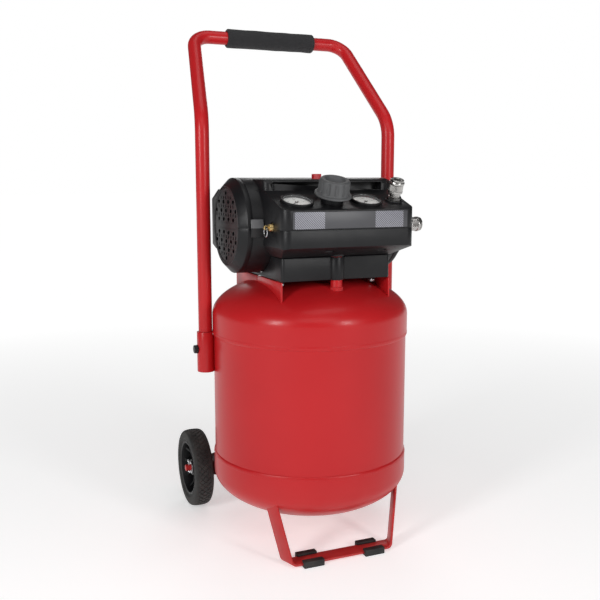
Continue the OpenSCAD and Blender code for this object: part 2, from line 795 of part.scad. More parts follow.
module motor_frame() {
    color(STEEL) on_motor() difference() {
        union() {
            along_x(can_x0, can_x1, can_r);
            intersection() {
                foot_windows(0);
                translate([-200, -200, plate_z + plate_t + 0.1 - axis_z]) cube([400, 400, 100]);
            }
        }
        along_x(can_x0 + 4, can_x1 + 1, can_r - 3);
        along_x(can_x0 - 1, can_x0 + 5, 13.05);
    }
}
module stator() {
    color(ALLOY) on_motor() difference() {
        along_x(-92, -22, can_r - 3.1);
        along_x(-93, -21, 28);
        for (a = [0 : 90 : 270]) rotate([a + 45, 0, 0]) translate([-93, -9, 20]) cube([72, 18, 20]);
    }
}
module rotor() {
    color(COPPER) on_motor() difference() {
        union() {
            along_x(-90, -24, 27.4);
            along_x(-22, -6, 15);
        }
        along_x(-100, 0, shaft_r + 0.02);
    }
}
module motor_shaft() {
    color(STEEL) on_motor() along_x(-fan_x - 8, fan_x + 8, shaft_r);
}
module fan() {
    difference() {
        union() {
            along_x(0, 16, 14);
            along_x(0, 2, 40);
            for (i = [0 : 8]) rotate([i * 40, 0, 0]) translate([0, 12, 0])
                translate([0, 0, -1]) cube([14, fan_r - 12, 2]);
        }
        along_x(-1, 20, shaft_r + 0.02);
    }
}
module cooling_fans() {
    color(GREY) on_motor() both_sides() translate([fan_x - 10, 0, 0]) fan();
}
module bearings() {
    color(STEEL) on_motor() {
        translate([can_x0 + 0.2, 0, 0]) rotate([0, 90, 0]) ring(13, shaft_r + run_gap, 0, 7);
        translate([crank_case_x0, 0, 0]) rotate([0, 90, 0]) ring(13, shaft_r + run_gap, 0, 5);
        translate([crank_case_x1 - 5, 0, 0]) rotate([0, 90, 0]) ring(13, shaft_r + run_gap, 0, 5);
    }
}
module crankcase() {
    color(ALLOY) on_motor() difference() {
        translate([crank_case_x0, -36, -34]) cube([crank_case_x1 - crank_case_x0, 88, 68]);
        translate([crank_case_x0 + 5, -31, -30]) cube([crank_case_x1 - crank_case_x0 - 10, 90, 60]);
        along_x(crank_case_x0 - 1, crank_case_x1 + 1, 13.05);
    }
}
module eccentric() {
    color(STEEL) on_motor() difference() {
        union() {
            translate([0, crank_e, 0]) along_x(crank_x - 7, crank_x + 7, pin_ring_r);
            along_x(crank_x - 14, crank_x - 7, 20);
            intersection() {
                along_x(crank_x - 14, crank_x - 7, 28);
                translate([0, -60, -60]) cube([100, 52, 120]);
            }
        }
        along_x(crank_x - 20, crank_x + 20, shaft_r + 0.02);
    }
}
module piston_rod() {
    color(ALLOY) on_motor() translate([crank_x, 0, 0]) {
        along_y(piston_top_y - 8, piston_top_y, bore_r - run_gap);
        along_y(crank_e + pin_ring_r + stroke + 0.8, piston_top_y - 7, 7);
        translate([-6, crank_e + pin_ring_r + stroke + 0.8, -10]) cube([12, 8, 20]);
    }
}
module pump_barrel() {
    color(ALLOY) on_motor() translate([crank_x, 0, 0]) difference() {
        union() {
            along_y(52.05, valve_y - 0.05, bore_r + 3);
            for (y = [58 : 7 : 79]) along_y(y, y + 2, bore_r + 8);
        }
        along_y(40, 100, bore_r);
    }
}
module valve_plate() {
    color(STEEL) on_motor() difference() {
        translate([crank_x - 32, valve_y, -32]) cube([64, valve_t - 0.05, 64]);
        for (z = [-10, 10]) translate([crank_x, 0, z]) along_y(valve_y - 1, head_y + 1, 4);
    }
}
module cylinder_head() {
    color(ALLOY) on_motor() difference() {
        translate([crank_x - 32, head_y, -32]) cube([64, head_t, 64]);
        translate([crank_x - 26, head_y - 1, 3]) cube([52, head_t - 3, 24]);
        translate([crank_x - 26, head_y - 1, -27]) cube([52, head_t - 3, 24]);
        translate([crank_x, head_y + 6, -40]) cylinder(h = 20, r = 5.1);
    }
}
tube_foot_r = norm([crank_x, head_y + 6]);
valve_foot_z = dome_top_z + dome_h * sqrt(1 - pow(tube_foot_r / head_r, 2));
module discharge_tube() {
    color(COPPER) on_axis() translate([crank_x, head_y + 6, 0])
        ring(5, 3.5, valve_foot_z + 10.2, axis_z - 28 - valve_foot_z - 10.2);
}
module check_valve() {
    color(BRASS) on_axis() difference() {
        translate([crank_x, head_y + 6, valve_foot_z - 12]) {
            cylinder(h = 20, r = 9);
            translate([0, 0, 16]) hexagon(19, 10);
        }
        translate([crank_x, head_y + 6, valve_foot_z + 10]) cylinder(h = 30, r = 5.1);
        tank_form(0.02);
    }
}

// Controls -----------------------------------------------------------------

module label_plate() {
    color(GREY) on_motor() translate([-label_x, -console_y - label_t + label_sink - nest_gap, label_z0])
        cube([2 * label_x, label_t, label_h]);
}
module manifold() {
    color(ALLOY) difference() {
        union() {
            on_deck(0) translate([-mani_x, -mani_s / 2, mani_z - mani_h / 2])
                cube([2 * mani_x, mani_s, mani_h]);
            on_deck(knob_x) translate([0, 0, mani_z]) cylinder(h = -mani_z - 12, r = 15);
        }
        on_axis() translate([0, -pipe_y, 0]) cylinder(h = axis_z - 5.8, r = pipe_r + 0.2);
        on_deck(knob_x) translate([0, 0, mani_z + 6]) cylinder(h = 60, r = 8.1);
        on_deck(coupler_x) translate([0, 0, mani_z + 2]) cylinder(h = 60, r = 7.05);
        for (x = gauge_x) on_deck(x) translate([0, 0, mani_z + 5]) cylinder(h = 20, r = 5.05);
        on_deck(0) translate([0, 0, mani_z]) both_sides() along_x(mani_x - 10, mani_x + 5, 7.05);
    }
}
module regulator_stem() {
    color(BLACK) on_deck(knob_x) {
        translate([0, 0, mani_z + 6.1]) cylinder(h = -mani_z + 14, r = 8);
        ring(19, 8.1, 0.1, collar_h - 1.2);
    }
}
module regulator_knob() {
    color(GREY) on_deck(knob_x) translate([0, 0, collar_h]) difference() {
        union() {
            cylinder(h = 4, r = knob_d / 2);
            translate([0, 0, 4]) cylinder(h = knob_h - 8, r1 = knob_d / 2 - 1.5, r2 = knob_top_d / 2 + 0.6);
            translate([0, 0, knob_h - 4]) cylinder(h = 4, r1 = knob_top_d / 2 + 0.6, r2 = knob_top_d / 2 - 3);
        }
        for (i = [0 : 11]) rotate([0, 0, i * 30]) translate([knob_d / 2 + 2.2, 0, 6])
            rotate([0, -12, 0]) cylinder(h = knob_h - 13, r = 4);
        translate([0, 0, knob_h - 5]) cylinder(h = 6, r = knob_top_d / 2 - 8);
        translate([0, 0, -1]) cylinder(h = knob_h - 12, r = 8 + run_gap);
    }
}
module on_gauges() { for (x = gauge_x) on_deck(x) children(); }
dial_z = -1;
glass_z = 3;
module gauge_cases() {
    color(BLACK) on_gauges() difference() {
        union() {
            translate([0, 0, 0.05]) cylinder(h = 4.5, r1 = gauge_d / 2, r2 = gauge_d / 2 - 1);
            translate([0, 0, -22]) cylinder(h = 23, r = gauge_d / 2 - 3);
            translate([0, 0, mani_z + 5.1]) cylinder(h = -mani_z - 26, r = 5);
        }
        translate([0, 0, dial_z - 1]) cylinder(h = 20, r = dial_r);
    }
}
module gauge_dials() {
    color(WHITE) on_gauges() {
        translate([0, 0, dial_z - 0.95]) cylinder(h = 0.9, r = dial_r - 0.05);
        translate([0, 0, dial_z - 0.1]) cylinder(h = 2.4, r = 1);
    }
}
module gauge_lenses() {
    color([0.85, 0.9, 0.92, 0.35]) on_gauges() translate([0, 0, glass_z]) cylinder(h = 1.2, r = dial_r - 0.05);
}
module needle() {
    translate([0, 0, dial_z + 0.5]) difference() {
        union() {
            cylinder(h = 1.2, r = 2.6);
            translate([-0.55, -5, 0.2]) cube([1.1, dial_r - 1, 0.7]);
        }
        translate([0, 0, -1]) cylinder(h = 4, r = 1 + run_gap);
    }
}
module left_needle() { color(BLACK) on_deck(gauge_x[0]) rotate([0, 0, 135]) needle(); }
module right_needle() { color(BLACK) on_deck(gauge_x[1]) rotate([0, 0, 135]) needle(); }
// A quick coupler standing on its own Z, threaded end down, z0 long below its flange
module coupler_body(z0) {
    difference() {
        union() {
            translate([0, 0, -z0]) cylinder(h = z0 + 1, r = 7);
            hexagon(20, 8);
            translate([0, 0, 7]) cylinder(h = 31, r = 8.6);
            translate([0, 0, 36]) cylinder(h = 2.5, r = 11.6);
        }
        translate([0, 0, -z0 - 1]) cylinder(h = z0 + 60, r = 4.2);
        translate([0, 0, 22]) cylinder(h = 30, r = 6);
    }
}
module coupler_sleeve() {
    ring(12.4, 8.6 + run_gap, 15, 20);
    ring(13, 12, 30, 4);
}
module side_coupler_place() {
    on_deck(0) translate([console_x + 0.4, 0, mani_z]) rotate([0, 90, 0]) children();
}
module couplers() {
    color(STEEL) {
        on_deck(coupler_x) translate([0, 0, coupler_rise]) coupler_body(coupler_rise - mani_z - 3.1);
        on_deck(coupler_x) ring(15, 12.2, 0.05, 2.5);
        side_coupler_place() coupler_body(17);
    }
}
module top_sleeve() { color(STEEL) on_deck(coupler_x) translate([0, 0, coupler_rise]) coupler_sleeve(); }
module side_sleeve() { color(STEEL) side_coupler_place() coupler_sleeve(); }
module safety_valve() {
    color(BRASS) on_deck(0) translate([-mani_x + 9, 0, mani_z]) rotate([0, -90, 0]) difference() {
        union() {
            cylinder(h = 14, r = 7);
            translate([0, 0, 9.2]) hexagon(15, 6);
            translate([0, 0, 15]) cylinder(h = 8, r = 6);
        }
        translate([0, 0, -1]) cylinder(h = 40, r = 2.5 + run_gap);
    }
}
module relief_pin() {
    color(BRASS) on_motor() translate([0, line_y, line_z]) difference() {
        union() {
            along_x(relief_x - 1, 4 - mani_x, 2.5);
            translate([relief_x, 0, 0]) along_y(-2, 2, 4);
        }
        translate([relief_x, 0, 0]) along_y(-5, 5, 2);
    }
}
module relief_ring() {
    color(STEEL) on_motor() translate([relief_x, line_y, line_z - 7.5])
        rotate([0, 90, 0]) rotate_extrude() translate([7.5, 0]) circle(r = 0.9, $fn = 24);
}
module pressure_switch() {
    color(BLACK) on_motor() difference() {
        translate([switch_x - 25, -switch_y - 26, 38]) cube([50, 32, 20]);
        translate([switch_x - 5.6, -switch_y - 3.6, 44]) cube([11.2, 7.2, 30]);
    }
}
module switch_tab() {
    color(RED) on_motor() {
        translate([switch_x - 5, -switch_y - 3, 52]) cube([10, 6, 20]);
        translate([switch_x - switch_w / 2, -switch_y - switch_t / 2, 68])
            cube([switch_w, switch_t, switch_top - 68]);
    }
}
module cord_gland() {
    color(BLACK) on_motor() translate([-60, rear_y, -20]) difference() {
        union() {
            along_y(-6, 3, 8);
            along_y(0.25, 3, 12);
            translate([0, 2, 0]) rotate([-90, 0, 0]) cylinder(h = 10, r1 = 8, r2 = 5.5);
        }
        along_y(2, 20, 3.6);
    }
}

tank_shell();
top_head();
bottom_head();
outlet_pipe();
drain_valve();
drain_screw();
foot_strip();
foot_pads();
wheel_brackets();
axle();
axle_fittings();
left_rim();
right_rim();
left_tyre();
right_tyre();
handle_tube();
handle_grip();
handle_sockets();
socket_bolts();
pump_brackets();
isolators();
base_skirt();
fixing_screws();
lower_shroud();
upper_shroud();
rear_cover();
end_grilles();
shroud_latches();
motor_frame();
stator();
rotor();
motor_shaft();
cooling_fans();
bearings();
crankcase();
eccentric();
piston_rod();
pump_barrel();
valve_plate();
cylinder_head();
discharge_tube();
check_valve();
label_plate();
manifold();
regulator_stem();
regulator_knob();
gauge_cases();
gauge_dials();
gauge_lenses();
left_needle();
right_needle();
couplers();
top_sleeve();
side_sleeve();
safety_valve();
relief_pin();
relief_ring();
pressure_switch();
switch_tab();
cord_gland();
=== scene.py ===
import json
import math

import bmesh
import bpy
from mathutils import Matrix, Vector, noise


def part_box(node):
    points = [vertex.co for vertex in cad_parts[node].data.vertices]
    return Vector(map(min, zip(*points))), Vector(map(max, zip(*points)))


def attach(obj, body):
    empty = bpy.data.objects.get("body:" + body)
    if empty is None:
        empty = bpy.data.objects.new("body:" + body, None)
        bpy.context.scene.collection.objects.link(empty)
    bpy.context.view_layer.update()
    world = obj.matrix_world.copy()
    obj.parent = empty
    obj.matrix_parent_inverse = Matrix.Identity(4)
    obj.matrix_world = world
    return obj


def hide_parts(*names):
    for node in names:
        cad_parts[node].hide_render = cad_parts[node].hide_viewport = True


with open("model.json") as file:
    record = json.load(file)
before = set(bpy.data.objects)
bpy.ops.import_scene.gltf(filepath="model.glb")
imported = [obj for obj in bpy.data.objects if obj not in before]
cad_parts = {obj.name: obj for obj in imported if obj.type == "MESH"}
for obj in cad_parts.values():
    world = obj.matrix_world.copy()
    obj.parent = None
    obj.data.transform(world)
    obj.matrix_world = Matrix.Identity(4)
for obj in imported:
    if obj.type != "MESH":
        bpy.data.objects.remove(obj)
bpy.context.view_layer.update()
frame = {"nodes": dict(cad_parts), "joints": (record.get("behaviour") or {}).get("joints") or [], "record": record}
nodes = frame["nodes"]
record = frame["record"]
joints = {j["name"]: j for j in frame["joints"]}
slotOf = {s["node"]: s["material_slot"] for s in record["subparts"]}
bodyOf = {n: b for b, members in record["behaviour"]["bodies"].items() for n in members}
mm = 0.001


# the middle of the box of a node
def middle(node):
    low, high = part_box(node)
    return (low + high) / 2


tankAxis = Vector((0, middle("tank_shell").y, 0))
motorAxis = middle("motor_shaft")
deckUp = Vector(joints["regulator_turn"]["axis"])
print("frame loaded,", len(nodes), "nodes")


# a socket that adds its own maths nodes
class Link:
    def __init__(self, finish, socket):
        self.finish = finish
        self.socket = socket

    def math(self, operation, other, swapped=False):
        pair = [other, self] if swapped else [self, other]
        return self.finish.node("ShaderNodeMath", {"operation": operation}, {0: pair[0], 1: pair[1]})

    def __add__(self, other):
        return self.math("ADD", other)

    __radd__ = __add__

    def __sub__(self, other):
        return self.math("SUBTRACT", other)

    def __rsub__(self, other):
        return self.math("SUBTRACT", other, True)

    def __mul__(self, other):
        return self.math("MULTIPLY", other)

    __rmul__ = __mul__

    def __truediv__(self, other):
        return self.math("DIVIDE", other)

    def __lt__(self, other):
        return self.math("LESS_THAN", other)

    def __gt__(self, other):
        return self.math("GREATER_THAN", other)


# one material, with its shader and the place on the piece
class Finish:
    def __init__(self, name):
        self.material = bpy.data.materials.new(name)
        self.material.use_nodes = True
        self.tree = self.material.node_tree
        self.shader = self.tree.nodes["Principled BSDF"]
        self.place = self.node("ShaderNodeTexCoord", out="Object")

    def node(self, kind, settings=None, values=None, out=0):
        made = self.tree.nodes.new(kind)
        for key, value in (settings or {}).items():
            if key == "stops":
                self.setStops(made.color_ramp, value)
            else:
                setattr(made, key, value)
        for key, value in (values or {}).items():
            if isinstance(value, Link):
                self.tree.links.new(value.socket, made.inputs[key])
            else:
                made.inputs[key].default_value = value
        return Link(self, made.outputs[out])

    def setStops(self, ramp, stops):
        while len(ramp.elements) < len(stops):
            ramp.elements.new(0.5)
        for element, (place, shade) in zip(ramp.elements, stops):
            element.position = place
            element.color = (shade, shade, shade, 1)

    def grain(self, scale, detail=2.0, rough=0.5, stretch=None):
        place = self.place
        if stretch:
            place = self.node("ShaderNodeMapping", {}, {"Vector": place, "Scale": stretch})
        return self.node("ShaderNodeTexNoise", {}, {"Vector": place, "Scale": scale, "Detail": detail,
                                                    "Roughness": rough})

    def cells(self, scale):
        return self.node("ShaderNodeTexVoronoi", {}, {"Vector": self.place, "Scale": scale})

    def ramp(self, link, stops):
        return self.node("ShaderNodeValToRGB", {"stops": stops}, {"Fac": link})

    def mix(self, factor, first, second):
        first = first if isinstance(first, Link) else (*first, 1)
        second = second if isinstance(second, Link) else (*second, 1)
        return self.node("ShaderNodeMix", {"data_type": "RGBA"}, {0: factor, 6: first, 7: second}, out=2)

    def axes(self):
        split = self.node("ShaderNodeSeparateXYZ", {}, {0: self.place})
        parts = split.socket.node.outputs
        return [Link(self, parts[i]) for i in range(3)]

    def bump(self, height, strength, depth):
        return self.node("ShaderNodeBump", {}, {"Height": height, "Strength": strength, "Distance": depth})

    def shade(self, **values):
        for key, value in values.items():
            socket = self.shader.inputs[key.replace("_", " ")]
            if isinstance(value, Link):
                self.tree.links.new(value.socket, socket)
            elif isinstance(value, tuple):
                socket.default_value = (*value, 1)
            else:
                socket.default_value = value
        return self.material


# paint over pressed steel, with a fine peel and dust near the ground
paintLook = {"dark": (0.43, 0.008, 0.011), "light": (0.53, 0.014, 0.017), "dust": (0.42, 0.26, 0.22),
             "dustHeight": 0.16, "dustShare": 0.35, "gloss": 0.30, "specular": 0.26, "coat": 0.10,
             "coatRough": 0.13, "cloudScale": 7, "speckScale": 900, "dustScale": 35, "peelScale": 230,
             "peelShare": 0.10, "peelDepth": 0.00025}


def redPaint():
    f = Finish("satinRedPaint")
    look = paintLook
    cloud = f.grain(look["cloudScale"], 3)
    peel = f.grain(look["peelScale"], 1.5)
    speck = f.ramp(f.grain(look["speckScale"], 1), [(0.70, 0), (0.76, 1)])
    nearGround = f.ramp(f.axes()[2], [(0.0, 1), (look["dustHeight"], 0)])
    dust = nearGround * f.grain(look["dustScale"], 4) * 0.5
    colour = f.mix(cloud, look["dark"], look["light"])
    colour = f.mix(dust * look["dustShare"], colour, look["dust"])
    rough = cloud * 0.10 + speck * 0.08 + dust * 0.25 + look["gloss"]
    return f.shade(Base_Color=colour, Roughness=rough, Specular_IOR_Level=look["specular"],
                   Coat_Weight=look["coat"], Coat_Roughness=look["coatRough"],
                   Normal=f.bump(peel, look["peelShare"], look["peelDepth"]))


plasticLook = {"cloudScale": 14, "skinScale": 700, "roughScale": 60, "grainScale": 1500, "grainShare": 0.35,
               "grainDepth": 0.00012, "specular": 0.28}


def mouldedPlastic(name, dark, light, gloss):
    f = Finish(name)
    look = plasticLook
    cloud = f.grain(look["cloudScale"], 3)
    skin = f.cells(look["grainScale"]) + f.grain(look["skinScale"], 2) * 0.6
    colour = f.mix(f.ramp(cloud, [(0.35, 0), (0.70, 1)]), dark, light)
    rough = f.grain(look["roughScale"], 3) * 0.12 + gloss
    return f.shade(Base_Color=colour, Roughness=rough, Specular_IOR_Level=look["specular"],
                   Normal=f.bump(skin, look["grainShare"], look["grainDepth"]))


foamLook = {"dark": (0.003, 0.003, 0.004), "light": (0.024, 0.024, 0.026), "poreScale": 1100,
            "softScale": 160, "rough": 0.92, "sheen": 0.06, "sheenRough": 0.5,
            "poreShare": 0.7, "poreDepth": 0.0006}


def foam():
    f = Finish("foamSleeve")
    look = foamLook
    pores = f.ramp(f.cells(look["poreScale"]), [(0.10, 0), (0.55, 1)])
    soft = f.grain(look["softScale"], 4)
    colour = f.mix(pores * 0.7 + soft * 0.3, look["dark"], look["light"])
    return f.shade(Base_Color=colour, Roughness=look["rough"], Sheen_Weight=look["sheen"],
                   Sheen_Roughness=look["sheenRough"],
                   Normal=f.bump(pores + soft * 0.5, look["poreShare"], look["poreDepth"]))


def rubber(name, dark, light, gloss):
    f = Finish(name)
    dust = f.grain(45, 5)
    skin = f.grain(1100, 3)
    colour = f.mix(f.ramp(dust, [(0.35, 0), (0.75, 1)]), dark, light)
    return f.shade(Base_Color=colour, Roughness=dust * 0.15 + gloss, Normal=f.bump(skin, 0.3, 0.0002))


def platedSteel(name, dark, light, gloss, brush):
    f = Finish(name)
    marks = f.grain(220, 3, 0.6, brush)
    stain = f.grain(30, 4)
    colour = f.mix(stain * 0.6 + marks * 0.4, dark, light)
    rough = marks * 0.14 + stain * 0.08 + gloss
    return f.shade(Base_Color=colour, Metallic=1.0, Roughness=rough, Normal=f.bump(marks, 0.12, 0.0001))


castLook = {"dark": (0.42, 0.42, 0.43), "light": (0.62, 0.62, 0.63), "metal": 0.9, "gloss": 0.38,
            "pitScale": 520, "pitShare": 0.4, "pitDepth": 0.0003, "stainScale": 26}


def castAlloy():
    f = Finish("castAlloy")
    look = castLook
    pits = f.cells(look["pitScale"])
    stain = f.grain(look["stainScale"], 4)
    colour = f.mix(stain, look["dark"], look["light"])
    return f.shade(Base_Color=colour, Metallic=look["metal"], Roughness=stain * 0.2 + look["gloss"],
                   Normal=f.bump(pits, look["pitShare"], look["pitDepth"]))


coreLook = {"sheetsPerMetre": 1400, "sheetShare": 0.82, "sheet": (0.22, 0.22, 0.23),
            "gap": (0.05, 0.05, 0.05), "metal": 0.8, "gloss": 0.4, "gapShare": 0.3, "gapDepth": 0.0002}


def laminations():
    f = Finish("coreLaminations")
    look = coreLook
    sheets = f.node("ShaderNodeMath", {"operation": "FRACT"}, {0: f.axes()[0] * look["sheetsPerMetre"]})
    colour = f.mix(sheets > look["sheetShare"], look["sheet"], look["gap"])
    return f.shade(Base_Color=colour, Metallic=look["metal"], Roughness=f.grain(80, 3) * 0.2 + look["gloss"],
                   Normal=f.bump(sheets, look["gapShare"], look["gapDepth"]))


labelLook = {"hatchPitch": 0.0038, "hatchShare": 0.6, "hatchLow": 0.046, "hatchHigh": 0.0985, "shift": 0.0022,
             "dark": (0.050, 0.050, 0.056), "light": (0.066, 0.066, 0.072), "hatch": (0.30, 0.30, 0.34),
             "gloss": 0.36, "skinScale": 900, "skinShare": 0.15, "skinDepth": 0.00008}


def printedLabel():
    f = Finish("printedLabel")
    look = labelLook
    x, z = f.axes()[::2]
    side = f.node("ShaderNodeMath", {"operation": "ABSOLUTE"}, {0: x + look["shift"]})
    lean = f.node("ShaderNodeMath", {"operation": "FRACT"}, {0: (x + z) / look["hatchPitch"] + 100})
    patch = (side > look["hatchLow"]) * (side < look["hatchHigh"])
    cloud = f.grain(20, 2)
    colour = f.mix(cloud, look["dark"], look["light"])
    colour = f.mix((lean < look["hatchShare"]) * patch, colour, look["hatch"])
    return f.shade(Base_Color=colour, Roughness=cloud * 0.1 + look["gloss"],
                   Normal=f.bump(f.grain(look["skinScale"], 2), look["skinShare"], look["skinDepth"]))


dialLook = {"dark": (0.80, 0.80, 0.77), "light": (0.90, 0.90, 0.88), "gloss": 0.42, "cloudScale": 90}


def dialFace():
    f = Finish("dialFace")
    cloud = f.grain(dialLook["cloudScale"], 2)
    colour = f.mix(cloud, dialLook["dark"], dialLook["light"])
    return f.shade(Base_Color=colour, Roughness=cloud * 0.1 + dialLook["gloss"])


def clearLens():
    f = Finish("clearLens")
    smear = f.grain(60, 3)
    return f.shade(Base_Color=(0.97, 0.98, 0.98), Roughness=smear * 0.05 + 0.03, Alpha=smear * 0.04 + 0.05)


# latch colours: the upper one is a painted highlight, the lower one is painted shade
latchLitAndShadedLook = {"lower": (0.020, 0.020, 0.021), "upper": (0.15, 0.15, 0.155), "gloss": 0.40, "specular": 0.35,
             "cloudScale": 40, "skinScale": 900, "skinShare": 0.2, "skinDepth": 0.0001}


# a painted highlight on the upper half and painted shade on the lower half, parted at the level of the motor
def latchPaintedLightPlastic():
    f = Finish("latchPaintedLightPlastic")
    look = latchLitAndShadedLook
    # painted light: lighter above the motor level as a painted highlight, darker below it as painted shade
    colour = f.mix(f.axes()[2] > motorAxis.z, look["lower"], look["upper"])
    skin = f.grain(look["skinScale"], 2)
    return f.shade(Base_Color=colour, Roughness=f.grain(look["cloudScale"], 3) * 0.12 + look["gloss"],
                   Specular_IOR_Level=look["specular"],
                   Normal=f.bump(skin, look["skinShare"], look["skinDepth"]))


finishes = {
    "red_paint": redPaint(),
    "black_plastic": mouldedPlastic("blackPlastic", (0.005, 0.005, 0.006), (0.009, 0.009, 0.010), 0.35),
    "grey_plastic": mouldedPlastic("greyPlastic", (0.075, 0.076, 0.078), (0.11, 0.112, 0.115), 0.44),
    "red_plastic": mouldedPlastic("redPlastic", (0.42, 0.010, 0.016), (0.52, 0.015, 0.022), 0.30),
    "foam": foam(),
    "rubber": rubber("footRubber", (0.012, 0.012, 0.012), (0.040, 0.038, 0.036), 0.66),
    "tyre": rubber("tyreRubber", (0.014, 0.014, 0.014), (0.045, 0.043, 0.040), 0.68),
    "zinc": platedSteel("zincPlate", (0.44, 0.45, 0.47), (0.64, 0.65, 0.66), 0.24, (1, 1, 6)),
    "black_steel": mouldedPlastic("blackOxide", (0.012, 0.012, 0.013), (0.03, 0.03, 0.032), 0.34),
    "nickel": platedSteel("nickelPlate", (0.36, 0.35, 0.34), (0.56, 0.55, 0.53), 0.17, (5, 1, 1)),
    "brass": platedSteel("machinedBrass", (0.50, 0.34, 0.13), (0.70, 0.52, 0.24), 0.20, (6, 1, 1)),
    "copper": platedSteel("copperTube", (0.48, 0.22, 0.12), (0.68, 0.36, 0.23), 0.24, (1, 1, 4)),
    "alloy": castAlloy(),
    "lamination": laminations(),
    "label_grey": printedLabel(),
    "dial_white": dialFace(),
    "clear_lens": clearLens(),
    "needle_black": mouldedPlastic("needlePaint", (0.008, 0.008, 0.008), (0.016, 0.016, 0.016), 0.35),
}
latchPaintedLightFinish = latchPaintedLightPlastic()
for name, node in nodes.items():
    node.data.materials.clear()
    node.data.materials.append(latchPaintedLightFinish if name == "shroud_latches" else finishes[slotOf[name]])
print("finishes made,", len(finishes))


# a mesh object of points and faces with its finish
def piece(name, points, faces, slot, smoothAngle=35):
    mesh = bpy.data.meshes.new(name)
    mesh.from_pydata([tuple(p) for p in points], [], faces)
    made = bpy.data.objects.new(name, mesh)
    bpy.context.scene.collection.objects.link(made)
    return polish(made, slot, smoothAngle)


def polish(made, slot, smoothAngle=35):
    shape = bmesh.new()
    shape.from_mesh(made.data)
    bmesh.ops.remove_doubles(shape, verts=shape.verts, dist=2e-6)
    bmesh.ops.recalc_face_normals(shape, faces=shape.faces)
    for face in shape.faces:
        face.smooth = True
    for edge in shape.edges:
        if len(edge.link_faces) == 2:
            edge.smooth = edge.calc_face_angle(0) < math.radians(smoothAngle)
    shape.to_mesh(made.data)
    shape.free()
    made.data.materials.clear()
    made.data.materials.append(finishes[slot])
    return made


def stand(made, slot, *replaced, body=None):
    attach(made, body or bodyOf[replaced[0]])
    if replaced:
        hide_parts(*replaced)
    return made


def shaped(shape, name, slot, *replaced, smoothAngle=35):
    return stand(piece(name, shape[0], shape[1], slot, smoothAngle), slot, *replaced)


def turnTo(direction, across=None):
    up = Vector(direction).normalized()
    side = Vector(across or (1, 0, 0))
    if abs(side.normalized().dot(up)) > 0.9:
        side = Vector((0, 1, 0))
    side = (side - up * side.dot(up)).normalized()
    return Matrix((side, up.cross(side), up)).transposed()


def arc(cx, cz, r, start, end, steps):
    turns = [math.radians(start + (end - start) * i / steps) for i in range(steps + 1)]
    return [(cx + r * math.cos(t), cz + r * math.sin(t)) for t in turns]


# a closed outline of (radius, height) turned about an axis; radii under a hair meet in one point
def lathe(outline, centre, direction=(0, 0, 1), steps=96, ripple=None):
    turn = turnTo(direction)
    points, faces = [], []
    count = len(outline)
    for i in range(steps):
        t = 2 * math.pi * i / steps
        for k, (r, z) in enumerate(outline):
            if ripple:
                r, z = ripple(r, z, t, k)
            points.append(centre + turn @ Vector((r * math.cos(t), r * math.sin(t), z)))
    for i in range(steps):
        j = (i + 1) % steps
        for k in range(count):
            m = (k + 1) % count
            face = [i * count + k, j * count + k, j * count + m, i * count + m]
            if outline[k][0] < 1e-7:
                face.pop(1)
            elif outline[m][0] < 1e-7:
                face.pop(2)
            if outline[k][0] > 1e-7 or outline[m][0] > 1e-7:
                faces.append(face)
    return points, faces


def joined(*shapes):
    points, faces = [], []
    for somePoints, someFaces in shapes:
        base = len(points)
        points += somePoints
        faces += [[base + v for v in face] for face in someFaces]
    return points, faces


def placed(shape, centre, direction=(0, 0, 1), across=None, spin=0):
    turn = turnTo(direction, across) @ Matrix.Rotation(spin, 3, "Z")
    return [centre + turn @ Vector(p) for p in shape[0]], shape[1]


# a prism of a closed outline in x and y, with its upper edge eased
def prism(outline, z0, z1, ease=0.0):
    count = len(outline)
    cx = sum(p[0] for p in outline) / count
    cy = sum(p[1] for p in outline) / count
    size = max(math.hypot(x - cx, y - cy) for x, y in outline)
    inner = 1 - ease / size
    rings = [(1, z0), (1, z1 - ease), (inner, z1)]
    points = [(cx + (x - cx) * k, cy + (y - cy) * k, z) for k, z in rings for x, y in outline]
    faces = [list(range(count))[::-1], [2 * count + i for i in range(count)]]
    for level in range(2):
        for i in range(count):
            j = (i + 1) % count
            a, b = level * count, (level + 1) * count
            faces.append([a + i, a + j, b + j, b + i])
    return [Vector(p) for p in points], faces


# a hexagon nut or flange whose top corners are turned off
def hexNut(acrossFlats, z0, z1, hole=0.0):
    reach = acrossFlats / 2 / math.cos(math.pi / 6)
    drop = (reach - acrossFlats / 2) * 0.6
    steps = 48

    def side(t):
        t = (t % (math.pi / 3)) - math.pi / 6
        return acrossFlats / 2 / math.cos(t)

    outline = [(hole, z0), (1, z0), (1, z1 - drop), (acrossFlats / 2 * 0.96, z1), (hole, z1)]

    def ripple(r, z, t, k):
        if k == 1:
            return side(t), z
        if k == 2:
            return side(t), z1 - drop * (side(t) - acrossFlats / 2) / (reach - acrossFlats / 2) - drop * 0.3
        return r, z

    return lathe(outline, Vector(), steps=steps, ripple=ripple)


# a tube along a path of points, with closed ends and no twist
def sweep(path, radius, sides=24):
    path = [Vector(p) for p in path]
    points, faces = [], []
    heading = (path[1] - path[0]).normalized()
    side = heading.orthogonal().normalized()
    for i, p in enumerate(path):
        ahead = path[min(i + 1, len(path) - 1)] - path[max(i - 1, 0)]
        ahead.normalize()
        side = (side - ahead * side.dot(ahead)).normalized()
        other = ahead.cross(side)
        for k in range(sides):
            t = 2 * math.pi * k / sides
            points.append(p + (side * math.cos(t) + other * math.sin(t)) * radius)
    for i in range(len(path) - 1):
        for k in range(sides):
            m = (k + 1) % sides
            faces.append([i * sides + k, i * sides + m, (i + 1) * sides + m, (i + 1) * sides + k])
    faces.append(list(range(sides))[::-1])
    faces.append([(len(path) - 1) * sides + k for k in range(sides)])
    return points, faces


